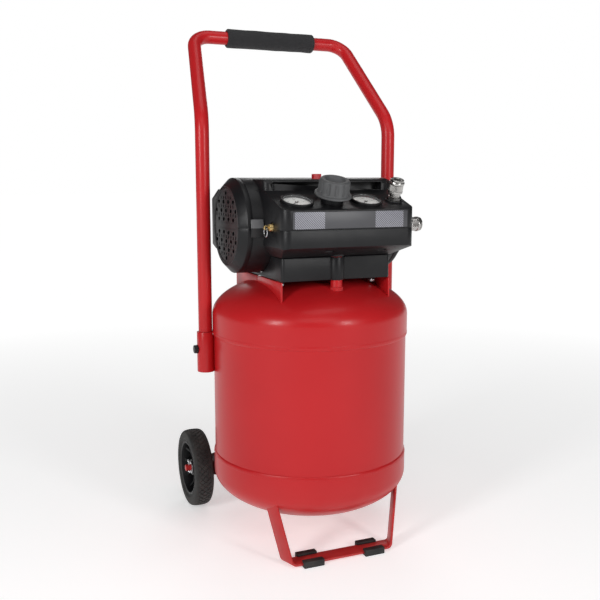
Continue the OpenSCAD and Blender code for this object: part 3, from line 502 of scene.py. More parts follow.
# corner points with a bend radius at each inner one, as a smooth path
def bentPath(corners, radii, steps=14):
    corners = [Vector(c) for c in corners]
    path = [corners[0]]
    for before, corner, after, radius in zip(corners, corners[1:], corners[2:], radii):
        u = (before - corner).normalized()
        v = (after - corner).normalized()
        half = u.angle(v) / 2
        centre = corner + (u + v).normalized() * radius / math.sin(half)
        start = corner + u * radius / math.tan(half) - centre
        end = corner + v * radius / math.tan(half) - centre
        whole = start.angle(end)
        for i in range(steps + 1):
            k = i / steps
            blend = start * math.sin((1 - k) * whole) + end * math.sin(k * whole)
            path.append(centre + blend / math.sin(whole))
    path.append(corners[-1])
    return path


# a copy of a CAD node with its doubles merged, its flats joined and its edges eased
def easedCopy(node, name, width, segments=2, angle=32, wide=None):
    made = nodes[node].copy()
    made.data = nodes[node].data.copy()
    made.name = name
    made.data.name = name
    made.parent = None
    for key in list(made.keys()):
        if key.startswith("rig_"):
            del made[key]
    made.modifiers.clear()
    bpy.context.scene.collection.objects.link(made)
    shape = bmesh.new()
    shape.from_mesh(made.data)
    bmesh.ops.remove_doubles(shape, verts=shape.verts, dist=1e-5)
    bmesh.ops.dissolve_limit(shape, angle_limit=math.radians(1.2), verts=shape.verts, edges=shape.edges)
    sharp = [e for e in shape.edges if len(e.link_faces) == 2 and e.calc_face_angle(0) > math.radians(angle)]
    if wide:
        chosen = [e for e in sharp if wide[0](e)]
        sharp = [e for e in sharp if e not in set(chosen)]
        bmesh.ops.bevel(shape, geom=chosen, offset=wide[1], segments=4, profile=0.5, affect="EDGES",
                        clamp_overlap=True)
        sharp = [e for e in shape.edges if len(e.link_faces) == 2
                 and e.calc_face_angle(0) > math.radians(angle)]
    bmesh.ops.bevel(shape, geom=sharp, offset=width, segments=segments, profile=0.5, affect="EDGES",
                    clamp_overlap=False)
    bmesh.ops.triangulate(shape, faces=[f for f in shape.faces if len(f.verts) > 4])
    shape.to_mesh(made.data)
    shape.free()
    return polish(made, slotOf[node], angle)


def eased(node, width, segments=2, angle=32, wide=None):
    words = node.split("_")
    name = words[0] + "".join(w.capitalize() for w in words[1:])
    return stand(easedCopy(node, name, width, segments, angle, wide), slotOf[node], node)


# a geometry node tree with named inputs
class Nodes:
    def __init__(self, name, inputs):
        self.tree = bpy.data.node_groups.new(name, "GeometryNodeTree")
        self.tree.is_modifier = True
        self.keys = {}
        for label, kind in inputs:
            made = self.tree.interface.new_socket(label, in_out="INPUT", socket_type=kind)
            self.keys[label] = made.identifier
        self.tree.interface.new_socket("Geometry", in_out="OUTPUT", socket_type="NodeSocketGeometry")
        self.start = self.tree.nodes.new("NodeGroupInput")

    def given(self, label):
        return self.start.outputs[label]

    def add(self, kind, settings=None, values=None):
        made = self.tree.nodes.new(kind)
        for key, value in (settings or {}).items():
            setattr(made, key, value)
        for key, value in (values or {}).items():
            for one in value if isinstance(value, list) else [value]:
                if isinstance(one, bpy.types.NodeSocket):
                    self.tree.links.new(one, made.inputs[key])
                else:
                    made.inputs[key].default_value = one
        return made.outputs

    def close(self, geometry, material):
        real = self.add("GeometryNodeRealizeInstances", {}, {0: geometry})
        painted = self.add("GeometryNodeSetMaterial", {}, {"Geometry": real[0], "Material": material})
        end = self.tree.nodes.new("NodeGroupOutput")
        self.tree.links.new(painted[0], end.inputs[0])


# copies of one object on a circle about Z, each turned to face outwards
def roundTree():
    t = Nodes("piecesInARound", [("Piece", "NodeSocketObject"), ("Count", "NodeSocketInt"),
                                 ("Sweep", "NodeSocketFloat"), ("Start", "NodeSocketFloat"),
                                 ("Material", "NodeSocketMaterial")])
    line = t.add("GeometryNodeMeshLine", {}, {"Count": t.given("Count"), "Offset": (0, 0, 0)})
    index = t.add("GeometryNodeInputIndex")
    share = t.add("ShaderNodeMath", {"operation": "DIVIDE"}, {0: index[0], 1: t.given("Count")})
    turned = t.add("ShaderNodeMath", {"operation": "MULTIPLY_ADD"},
                   {0: share[0], 1: t.given("Sweep"), 2: t.given("Start")})
    spin = t.add("ShaderNodeCombineXYZ", {}, {"Z": turned[0]})
    source = t.add("GeometryNodeObjectInfo", {}, {"Object": t.given("Piece")})
    made = t.add("GeometryNodeInstanceOnPoints", {},
                 {"Points": line[0], "Instance": source["Geometry"], "Rotation": spin[0]})
    t.close(made[0], t.given("Material"))
    return t


plateGrid = {"columns": 18, "rows": 24}


# a round plate with rows of holes and rows of slots by turns, left solid across a level bar
def plateTree():
    t = Nodes("perforatedPlate", [("Radius", "NodeSocketFloat"), ("Hole", "NodeSocketFloat"),
                                  ("Column", "NodeSocketFloat"), ("Row", "NodeSocketFloat"),
                                  ("Margin", "NodeSocketFloat"), ("Bar", "NodeSocketFloat"),
                                  ("Slip", "NodeSocketFloat"), ("Slot", "NodeSocketVector"),
                                  ("Shape", "NodeSocketVector"),
                                  ("Thickness", "NodeSocketFloat"), ("Material", "NodeSocketMaterial")])

    def reckon(operation, first, second=0.0):
        return t.add("ShaderNodeMath", {"operation": operation}, {0: first, 1: second})[0]

    rim = t.add("GeometryNodeCurvePrimitiveCircle", {}, {"Resolution": 96, "Radius": t.given("Radius")})
    grid = t.add("GeometryNodeMeshGrid", {},
                 {"Size X": reckon("MULTIPLY", t.given("Column"), plateGrid["columns"]),
                  "Vertices X": plateGrid["columns"] + 1,
                  "Size Y": reckon("MULTIPLY", t.given("Row"), plateGrid["rows"]),
                  "Vertices Y": plateGrid["rows"] + 1})
    place = t.add("ShaderNodeSeparateXYZ", {}, {0: t.add("GeometryNodeInputPosition")[0]})
    column = reckon("ROUND", reckon("DIVIDE", place["X"], t.given("Column")))
    row = reckon("ROUND", reckon("DIVIDE", place["Y"], t.given("Row")))
    slotRow = reckon("FLOORED_MODULO", row, 2.0)
    skipped = reckon("FLOORED_MODULO", reckon("ADD", column, reckon("MULTIPLY", row, 0.5)), 2.0)
    spare = t.add("FunctionNodeCompare", {"operation": "GREATER_THAN"},
                  {0: reckon("SUBTRACT", skipped, slotRow), 1: 0.75})
    thinned = t.add("GeometryNodeDeleteGeometry", {"domain": "POINT"}, {"Geometry": grid[0],
                                                                       "Selection": spare[0]})
    noted = t.add("GeometryNodeStoreNamedAttribute", {"data_type": "FLOAT", "domain": "POINT"},
                  {"Geometry": thinned[0], "Name": "slotRow", "Value": slotRow})
    towards = reckon("MULTIPLY", reckon("SIGN", place["Y"]), t.given("Slip"))
    moved = t.add("GeometryNodeSetPosition", {},
                  {"Geometry": noted[0], "Offset": t.add("ShaderNodeCombineXYZ", {}, {"Y": towards})[0]})
    where = t.add("GeometryNodeInputPosition")
    reach = t.add("ShaderNodeVectorMath", {"operation": "LENGTH"}, {0: where[0]})
    outside = t.add("FunctionNodeCompare", {"operation": "GREATER_THAN"},
                    {0: reach["Value"], 1: reckon("SUBTRACT", t.given("Radius"), t.given("Margin"))})
    level = reckon("ABSOLUTE", t.add("ShaderNodeSeparateXYZ", {}, {0: where[0]})["Y"])
    inBar = t.add("FunctionNodeCompare", {"operation": "LESS_THAN"}, {0: level, 1: t.given("Bar")})
    either = t.add("FunctionNodeBooleanMath", {"operation": "OR"}, {0: outside[0], 1: inBar[0]})
    kept = t.add("GeometryNodeDeleteGeometry", {"domain": "POINT"}, {"Geometry": moved[0],
                                                                    "Selection": either[0]})
    parity = t.add("GeometryNodeInputNamedAttribute", {"data_type": "FLOAT"}, {"Name": "slotRow"})
    scale = t.add("ShaderNodeMix", {"data_type": "VECTOR"},
                  {"Factor": parity[0], 4: t.given("Shape"), 5: t.given("Slot")})
    ring = t.add("GeometryNodeCurvePrimitiveCircle", {}, {"Resolution": 14, "Radius": t.given("Hole")})
    holes = t.add("GeometryNodeInstanceOnPoints", {}, {"Points": kept[0], "Instance": ring[0],
                                                       "Scale": scale[1]})
    loops = t.add("GeometryNodeRealizeInstances", {}, {0: holes[0]})
    together = t.add("GeometryNodeJoinGeometry", {}, {0: [rim[0], loops[0]]})
    sheet = t.add("GeometryNodeFillCurve", {}, {0: together[0]})
    lift = t.add("ShaderNodeCombineXYZ", {}, {"Z": t.given("Thickness")})
    thick = t.add("GeometryNodeExtrudeMesh", {"mode": "FACES"},
                  {"Mesh": sheet[0], "Offset": lift[0], "Offset Scale": 1.0, "Individual": False})
    back = t.add("GeometryNodeFlipFaces", {}, {0: sheet[0]})
    both = t.add("GeometryNodeJoinGeometry", {}, {0: [thick[0], back[0]]})
    merged = t.add("GeometryNodeMergeByDistance", {}, {0: both[0], "Distance": 1e-6})
    t.close(merged[0], t.given("Material"))
    return t


# runs a tree on an empty mesh and hands back its plain shape
def grown(tree, settings):
    holder = bpy.data.objects.new("holder", bpy.data.meshes.new("holder"))
    bpy.context.scene.collection.objects.link(holder)
    modifier = holder.modifiers.new("grow", "NODES")
    modifier.node_group = tree.tree
    for label, value in settings.items():
        modifier[tree.keys[label]] = value
    bpy.context.view_layer.update()
    mesh = bpy.data.meshes.new_from_object(holder.evaluated_get(bpy.context.evaluated_depsgraph_get()))
    holder.modifiers.clear()
    shape = [v.co.copy() for v in mesh.vertices], [list(p.vertices) for p in mesh.polygons]
    bpy.data.objects.remove(holder)
    bpy.data.meshes.remove(mesh)
    return shape


def inARound(shape, count, slot, sweepTurn=2 * math.pi, start=0.0):
    single = piece("single", shape[0], shape[1], slot)
    made = grown(pieceRound, {"Piece": single, "Count": count, "Sweep": sweepTurn, "Start": start,
                              "Material": finishes[slot]})
    bpy.data.objects.remove(single)
    return made


pieceRound = roundTree()
perforated = plateTree()
print("helpers ready")


# two pressed heads over a shell, with a weld bead at each seam
tankSizes = {"headWall": 0.002, "skirt": 0.031, "shellWall": 0.002, "lap": 0.018, "beadProud": 0.0004,
             "beadHeight": 0.0085, "beadWander": 0.0003, "rippleCount": 300, "rippleDepth": 0.00035,
             "steps": 192, "beadSteps": 1500}


def domeOutline(r, z0, skirt, dome, steps=26):
    side = [(r, z0), (r, z0 + skirt * 0.5), (r, z0 + skirt)]
    for i in range(1, steps + 1):
        t = math.pi / 2 * i / steps
        side.append((r * math.cos(t), z0 + skirt + dome * math.sin(t)))
    side[-1] = (0, z0 + skirt + dome)
    return side


def headShape(rim, crown, r, flip):
    wall = tankSizes["headWall"]
    skirt = tankSizes["skirt"]
    dome = abs(crown - rim) - skirt
    outer = domeOutline(r, 0, skirt, dome)
    inner = domeOutline(r - wall, 0, skirt, dome - wall)
    outline = outer + inner[::-1]
    return lathe([(a, rim + b * flip) for a, b in outline], tankAxis, steps=tankSizes["steps"])


def buildTank():
    low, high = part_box("top_head")
    headR = (high.x - low.x) / 2
    upperSeam, topZ = low.z, high.z
    shaped(headShape(upperSeam, topZ, headR, 1), "topHead", "red_paint", "top_head")
    low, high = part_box("bottom_head")
    shaped(headShape(high.z, low.z, headR, -1), "bottomHead", "red_paint", "bottom_head")
    lowerSeam = high.z
    shellR = headR - tankSizes["headWall"] - 0.1 * mm
    inside = shellR - tankSizes["shellWall"]
    bottom, top = lowerSeam - tankSizes["lap"], upperSeam + tankSizes["lap"]
    wall = [(shellR, bottom), (shellR, top), (inside, top), (inside, bottom)]
    shell = lathe(wall, tankAxis, steps=tankSizes["steps"])

    def bead(seam, flip):
        proud = headR + tankSizes["beadProud"] - tankSizes["rippleDepth"]
        height = tankSizes["beadHeight"]
        outline = [(shellR - 0.0006, seam + 0.0005 * flip), (headR - 0.0004, seam + 0.0008 * flip),
                   (proud, seam - height * 0.12 * flip), (proud, seam - height * 0.36 * flip),
                   (proud - 0.0005, seam - height * 0.62 * flip),
                   (shellR + 0.0007, seam - height * 0.85 * flip),
                   (shellR - 0.0006, seam - height * flip)]

        def ripple(r, z, t, k):
            phase = tankSizes["rippleCount"] * t + 1.1 * abs(k - 3)
            wander = 0.5 + 0.5 * math.sin(11 * t) * math.sin(5 * t + 1)
            if 1 <= k <= 5:
                r += tankSizes["rippleDepth"] * (0.5 + 0.5 * math.cos(phase)) * (0.6 + 0.4 * wander)
                z += tankSizes["beadWander"] * math.sin(23 * t) * flip
            return r, z

        return lathe(outline, tankAxis, steps=tankSizes["beadSteps"], ripple=ripple)

    shaped(joined(shell, bead(lowerSeam, -1), bead(upperSeam, 1)),
           "tankShell", "red_paint", "tank_shell", smoothAngle=50)


buildTank()

pipeSizes = {"radius": 0.010, "bore": 0.007, "weldHeight": 0.006, "weldInset": 0.0006, "weldLift": 0.001,
             "ripples": 26, "rippleDepth": 0.0004}


def buildPipe():
    low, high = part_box("outlet_pipe")
    centre = Vector(((low.x + high.x) / 2, (low.y + high.y) / 2, 0))
    r = pipeSizes["radius"]
    reach = (high.x - low.x) / 2 - pipeSizes["weldInset"]
    foot = low.z + pipeSizes["weldLift"]
    weldTop = foot + pipeSizes["weldHeight"]
    outline = [(pipeSizes["bore"], foot), (reach, foot), (reach, weldTop)]
    outline += arc(reach, weldTop + (reach - r), reach - r, 270, 180, 8)
    outline += [(r, high.z - 0.0005), (r - 0.0005, high.z), (pipeSizes["bore"], high.z)]

    def ripple(r0, z, t, k):
        if 1 <= k <= 8:
            r0 += pipeSizes["rippleDepth"] * math.cos(pipeSizes["ripples"] * t + 0.8 * k)
        return r0, z

    shaped(lathe(outline, centre, steps=104, ripple=ripple),
           "outletPipe", "red_paint", "outlet_pipe", smoothAngle=50)


buildPipe()

drainSizes = {"body": 0.0065, "hex": 0.019, "hexHeight": 0.009, "hexLift": 0.004, "hexBore": 0.006,
              "screw": 0.0035, "thumb": 0.009, "thumbHeight": 0.006, "lobes": 10, "lobeDepth": 0.07}


def buildDrain():
    low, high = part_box("drain_valve")
    c = Vector((0, tankAxis.y, 0))
    bore, r = drainSizes["screw"] + 0.1 * mm, drainSizes["body"]
    stem = [(bore, low.z), (r - 0.0007, low.z), (r, low.z + 0.0008), (r, high.z), (bore, high.z)]
    body = lathe(stem, c, steps=48)
    nut = placed(hexNut(drainSizes["hex"], 0, drainSizes["hexHeight"], drainSizes["hexBore"]),
                 Vector((0, tankAxis.y, low.z + drainSizes["hexLift"])))
    shaped(joined(body, nut), "drainValve", "brass", "drain_valve")
    low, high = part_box("drain_screw")

    def lobes(r, z, t, k):
        if 2 <= k <= 5:
            r *= 1 - drainSizes["lobeDepth"] + drainSizes["lobeDepth"] * math.cos(drainSizes["lobes"] * t)
        return r, z

    r, shank, top = drainSizes["thumb"], drainSizes["screw"], low.z + drainSizes["thumbHeight"]
    thumb = [(0, low.z), (r - 0.003, low.z), (r - 0.001, low.z + 0.0005), (r, low.z + 0.0015),
             (r, top - 0.0012), (r - 0.001, top), (shank, top), (shank, high.z), (0, high.z)]
    shaped(lathe(thumb, c, steps=120, ripple=lobes), "drainScrew", "brass", "drain_screw")


buildDrain()
print("tank built")


# a folded tube with a foam grip, bolted into two sockets
handleSizes = {"radius": 0.0125, "barDrop": 0.163, "inset": 0.030, "lowBend": 0.070, "topBend": 0.036}
gripSizes = {"radius": 0.018, "roundEnd": 0.004, "dents": 0.0005}


def buildHandle():
    low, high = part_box("handle_tube")
    r = handleSizes["radius"]
    legX, legY = high.x - r, low.y + r
    barY, barZ = high.y - r, high.z - r
    endX = legX - handleSizes["inset"]
    corners = [(-legX, legY, low.z), (-legX, legY, barZ - handleSizes["barDrop"]), (-endX, barY, barZ),
               (endX, barY, barZ), (legX, legY, barZ - handleSizes["barDrop"]), (legX, legY, low.z)]
    bends = [handleSizes["lowBend"], handleSizes["topBend"], handleSizes["topBend"], handleSizes["lowBend"]]
    shaped(sweep(bentPath(corners, bends), r, 40), "handleTube", "red_paint", "handle_tube")
    low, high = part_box("handle_grip")
    half = (high.x - low.x) / 2
    gripR = gripSizes["radius"]
    e = gripSizes["roundEnd"]
    outline = [(r + 0.1 * mm, -half + 0.001), (r + 0.0015, -half)]
    outline += arc(gripR - e, -half + e, e, 270, 360, 6)
    outline += [(gripR, -half + e + (2 * half - 2 * e) * i / 60) for i in range(1, 60)]
    outline += arc(gripR - e, half - e, e, 0, 90, 6)
    outline += [(r + 0.0015, half), (r + 0.1 * mm, half - 0.001)]
    centre = Vector((0, barY, barZ))

    def dents(rr, z, t, k):
        if rr < r + 0.002:
            return rr, z
        soft = noise.noise(Vector((math.cos(t) * 1.5, math.sin(t) * 1.5, z * 45)))
        return rr - gripSizes["dents"] * (0.5 + soft), z

    shaped(lathe(outline, centre, (1, 0, 0), 80, dents),
           "handleGrip", "foam", "handle_grip", smoothAngle=60)


buildHandle()
eased("handle_sockets", 0.0006)
boltSizes = {"shank": 0.004, "length": 0.029, "washer": 0.008, "washerThick": 0.0014, "head": 0.014,
             "headHeight": 0.005}


def buildSocketBolts():
    low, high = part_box("socket_bolts")
    shapes = []
    y, z = (low.y + high.y) / 2, (low.z + high.z) / 2
    end = -boltSizes["length"]
    for side in (-1, 1):
        out = Vector((side, 0, 0))
        face = Vector((side * (high.x - boltSizes["headHeight"]), y, z))
        washer = [(0, 0), (boltSizes["washer"], 0), (boltSizes["washer"], -boltSizes["washerThick"] * 0.8),
                  (boltSizes["washer"] - 0.0003, -boltSizes["washerThick"]), (0, -boltSizes["washerThick"])]
        shapes.append(lathe(washer, face, out, 40))
        shank = [(0, end), (boltSizes["shank"] - 0.0004, end), (boltSizes["shank"], end + 0.0004),
                 (boltSizes["shank"], 0), (0, 0)]
        shapes.append(lathe(shank, face, out, 32))
        shapes.append(placed(hexNut(boltSizes["head"], 0, boltSizes["headHeight"]), face, out))
    shaped(joined(*shapes), "socketBolts", "black_steel", "socket_bolts")


buildSocketBolts()
print("handle built")


# spoked rims with block tread tyres, pinned on one axle
wheelSizes = {"lugs": 44, "lugHeight": 0.0016, "lugRoot": 0.004, "lugTaper": 0.90, "shoulder": 0.006,
              "shoulderDrop": 0.03, "spokes": 10, "rimBand": 0.0045, "hub": 0.017, "bore": 0.00641,
              "dish": 0.012}


def tyreShape(r, w, rim):
    t0 = r - wheelSizes["lugHeight"]
    s = wheelSizes["shoulder"]
    outline = [(rim, 0.003), (rim + 0.004, 0.0012), (r - 0.017, 0.0), (r - 0.013, 0.0003)]
    outline += arc(t0 - s, s + 0.0006, s, 270, 360, 7)
    outline += [(t0 + 0.0002, w * 0.35), (t0 + 0.0003, w * 0.5), (t0 + 0.0002, w * 0.65)]
    outline += arc(t0 - s, w - s - 0.0006, s, 0, 90, 7)
    outline += [(r - 0.013, w - 0.0003), (r - 0.017, w), (rim + 0.004, w - 0.0012), (rim, w - 0.003)]
    return lathe(outline, Vector(), steps=128)


# one row of tread blocks: a middle diamond and two slanted shoulder blocks
def treadShape(r, w):
    base, top = r - wheelSizes["lugRoot"], r
    pitch = 2 * math.pi * r / wheelSizes["lugs"]
    shapes = []

    def block(corners, drop):
        points = []
        for height in (base, top):
            k = 1.0 if height == base else wheelSizes["lugTaper"]
            cu = sum(c[0] for c in corners) / len(corners)
            cw = sum(c[1] for c in corners) / len(corners)
            for u, v in corners:
                a = (cu + (u - cu) * k) / r
                lift = height - (drop * abs(v / w - 0.5) ** 3 if height == top else 0)
                points.append(Vector((lift * math.cos(a), lift * math.sin(a), cw + (v - cw) * k)))
        n = len(corners)
        faces = [list(range(n)), [n + i for i in range(n)]]
        faces += [[i, (i + 1) % n, n + (i + 1) % n, n + i] for i in range(n)]
        shapes.append((points, faces))

    p = pitch * 0.5
    block([(-p * 0.86, w * 0.5), (0, w * 0.35), (p * 0.86, w * 0.5), (0, w * 0.65)], 0)
    for flip in (-1, 1):
        def at(u, v):
            return (u, w * 0.5 + flip * w * v)
        block([at(p * 0.14, 0.13), at(p * 0.92, 0.04), at(p * 1.78, 0.19), at(p * 0.98, 0.31)],
              wheelSizes["shoulderDrop"])
        block([at(-p * 0.78, 0.27), at(p * 0.1, 0.20), at(p * 0.78, 0.33), at(p * 0.55, 0.40),
               at(-p * 0.6, 0.40)], wheelSizes["shoulderDrop"])
    return joined(*shapes)


def rimShape(rim, w):
    band = wheelSizes["rimBand"]
    hub = wheelSizes["hub"]
    bore = wheelSizes["bore"]
    deep = wheelSizes["dish"]
    outer = [(rim - 0.1 * mm, 0.003), (rim - 0.1 * mm, w - 0.003), (rim - 0.0012, w - 0.0022),
             (rim - band, w - 0.003), (rim - band - 0.0015, w - 0.009), (rim - band - 0.003, deep + 0.004),
             (rim - band - 0.003, deep - 0.002), (rim - band - 0.0015, 0.009), (rim - band, 0.003),
             (rim - 0.0012, 0.0022)]
    edge = rim - band - 0.002
    webPlate = [(edge, deep), (edge, deep + 0.0035), (hub, deep + 0.006), (hub, deep)]
    core = [(bore, 0), (hub - 0.001, 0), (hub, 0.001), (hub, w - 0.0125), (hub - 0.0015, w - 0.011),
            (bore + 0.004, w - 0.011), (bore, w - 0.0115)]
    spoke = []
    reach = rim - band - 0.0022
    for r, high, half in ((hub - 0.001, w - 0.014, 0.0042), (hub + 0.008, w - 0.018, 0.0034),
                          (reach - 0.010, w - 0.017, 0.0030), (reach, w - 0.010, 0.0042)):
        root = deep + 0.001
        spoke.append([(r, -half, root), (r, half, root), (r, half * 0.7, high), (r, -half * 0.7, high)])
    points = [Vector(p) for ring in spoke for p in ring]
    faces = [[0, 1, 2, 3], [12, 13, 14, 15]]
    for i in range(3):
        for k in range(4):
            m = (k + 1) % 4
            faces.append([4 * i + k, 4 * i + m, 4 * i + 4 + m, 4 * i + 4 + k])
    spokes = inARound((points, faces), wheelSizes["spokes"], "black_plastic", start=math.pi / 10)
    return joined(lathe(outer, Vector(), steps=128), lathe(webPlate, Vector(), steps=96),
                  lathe(core, Vector(), steps=64), spokes)


def buildWheels():
    for side, out in (("left", -1), ("right", 1)):
        low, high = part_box(side + "_tyre")
        r = (high.z - low.z) / 2
        w = high.x - low.x
        rim = (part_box(side + "_rim")[1].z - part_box(side + "_rim")[0].z) / 2 + 0.05 * mm
        inner = Vector((high.x if out < 0 else low.x, (low.y + high.y) / 2, (low.z + high.z) / 2))
        tread = inARound(treadShape(r, w), wheelSizes["lugs"], "tyre")
        shaped(placed(joined(tyreShape(r, w, rim), tread), inner, (out, 0, 0), (0, 0, 1)),
               side + "Tyre", "tyre", side + "_tyre")
        shaped(placed(rimShape(rim, w), inner, (out, 0, 0), (0, 0, 1)),
               side + "Rim", "black_plastic", side + "_rim")


buildWheels()
axleSizes = {"radius": 0.00635, "bevel": 0.001}


def buildAxle():
    low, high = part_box("axle")
    centre = (low + high) / 2
    half = (high.x - low.x) / 2
    r, b = axleSizes["radius"], axleSizes["bevel"]
    outline = [(0, -half), (r - b, -half), (r, -half + b), (r, half - b), (r - b, half), (0, half)]
    shaped(lathe(outline, centre, (1, 0, 0), 48), "axle", "red_paint", "axle")


buildAxle()
eased("wheel_brackets", 0.0005)
cotterSizes = {"wire": 0.00135, "eye": 0.0038, "eyeOpening": 25, "eyeLift": 0.0128, "washerR": 0.0125,
               "washerHole": 0.0066, "washerThick": 0.002, "hubInset": 0.008, "pinOut": 0.006}


def buildAxleFittings():
    axle = (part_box("axle")[0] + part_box("axle")[1]) / 2
    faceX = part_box("right_rim")[1].x - cotterSizes["hubInset"]
    hole, rim = cotterSizes["washerHole"], cotterSizes["washerR"]
    near, far = 0.0003, 0.0003 + cotterSizes["washerThick"]
    washer = [(hole, near), (rim - 0.0003, near), (rim, near + 0.0003), (rim, far - 0.0004),
              (rim - 0.0004, far), (hole, far)]
    r, eyeR = cotterSizes["wire"], cotterSizes["eye"]
    opening = cotterSizes["eyeOpening"]
    shapes = []
    for out in (-1, 1):
        shapes.append(lathe(washer, Vector((out * faceX, axle.y, axle.z)), (out, 0, 0), 48))
        pinX = out * (faceX + cotterSizes["pinOut"])
        for slip in (-1, 1):
            y = axle.y + slip * r * 0.75
            leg = [(pinX, y, axle.z + 0.0095), (pinX, y, axle.z - 0.006),
                   (pinX, y + slip * 0.002, axle.z - 0.0098)]
            shapes.append(sweep(bentPath(leg, [0.004], 5), r * 0.8, 12))
        turns = [math.radians(opening + (360 - 2 * opening) * i / 24) for i in range(25)]
        eyeZ = axle.z + cotterSizes["eyeLift"]
        eye = [Vector((pinX, axle.y + eyeR * math.sin(a), eyeZ - eyeR * math.cos(a))) for a in turns]
        shapes.append(sweep(eye, r * 0.9, 12))
    shaped(joined(*shapes), "axleFittings", "zinc", "axle_fittings")


buildAxleFittings()
print("wheels built")


# the pads, brackets and skirt under the pump keep their shape and get eased edges
baseEdges = {"foot_pads": (0.0011, 3), "pump_brackets": (0.0005, 2), "base_skirt": (0.0012, 2),
             "fixing_screws": (0.0004, 2)}
for node, (width, segments) in baseEdges.items():
    eased(node, width, segments)

footSizes = {"barHalf": 0.102, "turn": -19, "leanBack": 15, "leanOut": 7, "width": 0.031, "thick": 0.004,
             "fold": 0.010, "legLength": 0.122, "edge": 0.0009}


def buildFootStrip():
    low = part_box("foot_strip")[0]
    padLow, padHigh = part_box("foot_pads")
    centreY = (padLow.y + padHigh.y) / 2
    half = footSizes["width"] / 2
    turn = Matrix.Rotation(math.radians(footSizes["turn"]), 3, "Z")
    lean = Matrix.Rotation(math.radians(footSizes["leanOut"]), 3, "Y")
    back = Matrix.Rotation(math.radians(-footSizes["leanBack"]), 3, "X")
    legTurn = turn @ lean @ back
    legUp, legAcross = legTurn @ Vector((0, 0, 1)), legTurn @ Vector((0, 1, 0))
    base = Vector((footSizes["barHalf"], centreY, low.z))
    rows = []
    for side in (-1, 1):
        edge = base + legAcross * half * side
        corner = edge + legUp * ((low.z - edge.z) / legUp.z)
        top = edge + legUp * footSizes["legLength"]
        start = Vector((0.0, centreY + half * side, low.z))
        path = bentPath([start, corner, top], [footSizes["fold"]], 10)
        flat = [start.lerp(path[1], i / 6) for i in range(6)]
        rows.append(flat + path[1:])
    points = [p for pair in zip(*rows) for p in pair]
    count = len(rows[0])
    mirrored = [Vector((-p.x, p.y, p.z)) for p in points]
    faces = [[2 * i, 2 * i + 1, 2 * i + 3, 2 * i + 2] for i in range(count - 1)]
    both = joined((points, faces), (mirrored, [f[::-1] for f in faces]))
    made = piece("footStrip", both[0], both[1], "red_paint", 60)
    shape = bmesh.new()
    shape.from_mesh(made.data)
    bmesh.ops.recalc_face_normals(shape, faces=shape.faces)
    lowest = min(shape.faces, key=lambda f: abs(f.calc_center_median().x))
    if lowest.normal.z > 0:
        bmesh.ops.reverse_faces(shape, faces=shape.faces)
    shape.to_mesh(made.data)
    shape.free()
    thicken = made.modifiers.new("thick", "SOLIDIFY")
    thicken.thickness = footSizes["thick"]
    thicken.offset = -1
    soften = made.modifiers.new("edges", "BEVEL")
    soften.width = footSizes["edge"]
    soften.segments = 2
    soften.limit_method = "ANGLE"
    soften.angle_limit = math.radians(50)
    return stand(made, "red_paint", "foot_strip")


buildFootStrip()
print("base built")

# the console end faces have a wider round at each upright corner
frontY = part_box("upper_shroud")[0].y
consoleSizes = {"cornerX": 0.119, "depth": 0.002, "upright": 0.7, "round": 0.006}


def consoleCorner(edge):
    a, b = edge.verts[0].co, edge.verts[1].co
    atEnd = min(abs(a.x), abs(b.x)) > consoleSizes["cornerX"]
    atFront = max(a.y, b.y) < frontY + consoleSizes["depth"]
    return atEnd and atFront and abs(a.z - b.z) > consoleSizes["upright"] * (a - b).length


shroudEdges = {"fine": 0.0004, "cover": 0.0014, "latch": 0.0007, "tab": 0.0010}
eased("upper_shroud", shroudEdges["fine"], wide=(consoleCorner, consoleSizes["round"]))
eased("lower_shroud", shroudEdges["fine"], wide=(consoleCorner, consoleSizes["round"]))
eased("rear_cover", shroudEdges["cover"])
# the latches carry the finish with the painted highlight and painted shade
latches = easedCopy("shroud_latches", "shroudLatches", shroudEdges["latch"])
latches.data.materials.clear()
latches.data.materials.append(latchPaintedLightFinish)
stand(latches, "grey_plastic", "shroud_latches")
eased("label_plate", shroudEdges["fine"])
eased("switch_tab", shroudEdges["tab"], 3)
grilleSizes = {"hole": 0.0037, "column": 0.0132, "row": 0.00755, "slip": 0.0037, "slot": (0.60, 0.85, 1.0),
               "shape": (1.45, 1.0, 1.0), "margin": 0.0056, "thick": 0.0022, "barHeight": 0.0105,
               "proud": 0.003, "band": 0.004, "rib": 0.0006}


def buildGrilles():
    low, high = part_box("end_grilles")
    r = (high.z - low.z) / 2
    sizes = grilleSizes
    proud, thick, rib = sizes["proud"], sizes["thick"], sizes["rib"]
    inner = r - sizes["band"]
    plate = grown(perforated, {"Radius": r - 0.0012, "Hole": sizes["hole"], "Slip": -sizes["slip"],
                               "Column": sizes["column"], "Row": sizes["row"], "Margin": sizes["margin"],
                               "Bar": sizes["row"], "Slot": sizes["slot"], "Shape": sizes["shape"],
                               "Thickness": thick, "Material": finishes["black_plastic"]})
    band = [(inner, 0), (r, 0), (r, thick), (r - 0.0008, proud), (inner + 0.0008, proud), (inner, thick)]
    half = sizes["barHeight"] / 2
    shapes = []
    for out in (-1, 1):
        face = Vector((out * (high.x - proud), motorAxis.y, motorAxis.z))
        shapes.append(placed(plate, face, (out, 0, 0), (0, 1, 0)))
        shapes.append(lathe(band, face, (out, 0, 0), 128))
        for z in (-half, half):
            line = [(-inner, z - rib), (inner, z - rib), (inner, z + rib), (-inner, z + rib)]
            shapes.append(placed(prism(line, proud - 0.001, proud, 0.0002), face, (out, 0, 0), (0, 1, 0)))
    shaped(joined(*shapes), "endGrilles", "black_plastic", "end_grilles")


buildGrilles()
print("shroud built")

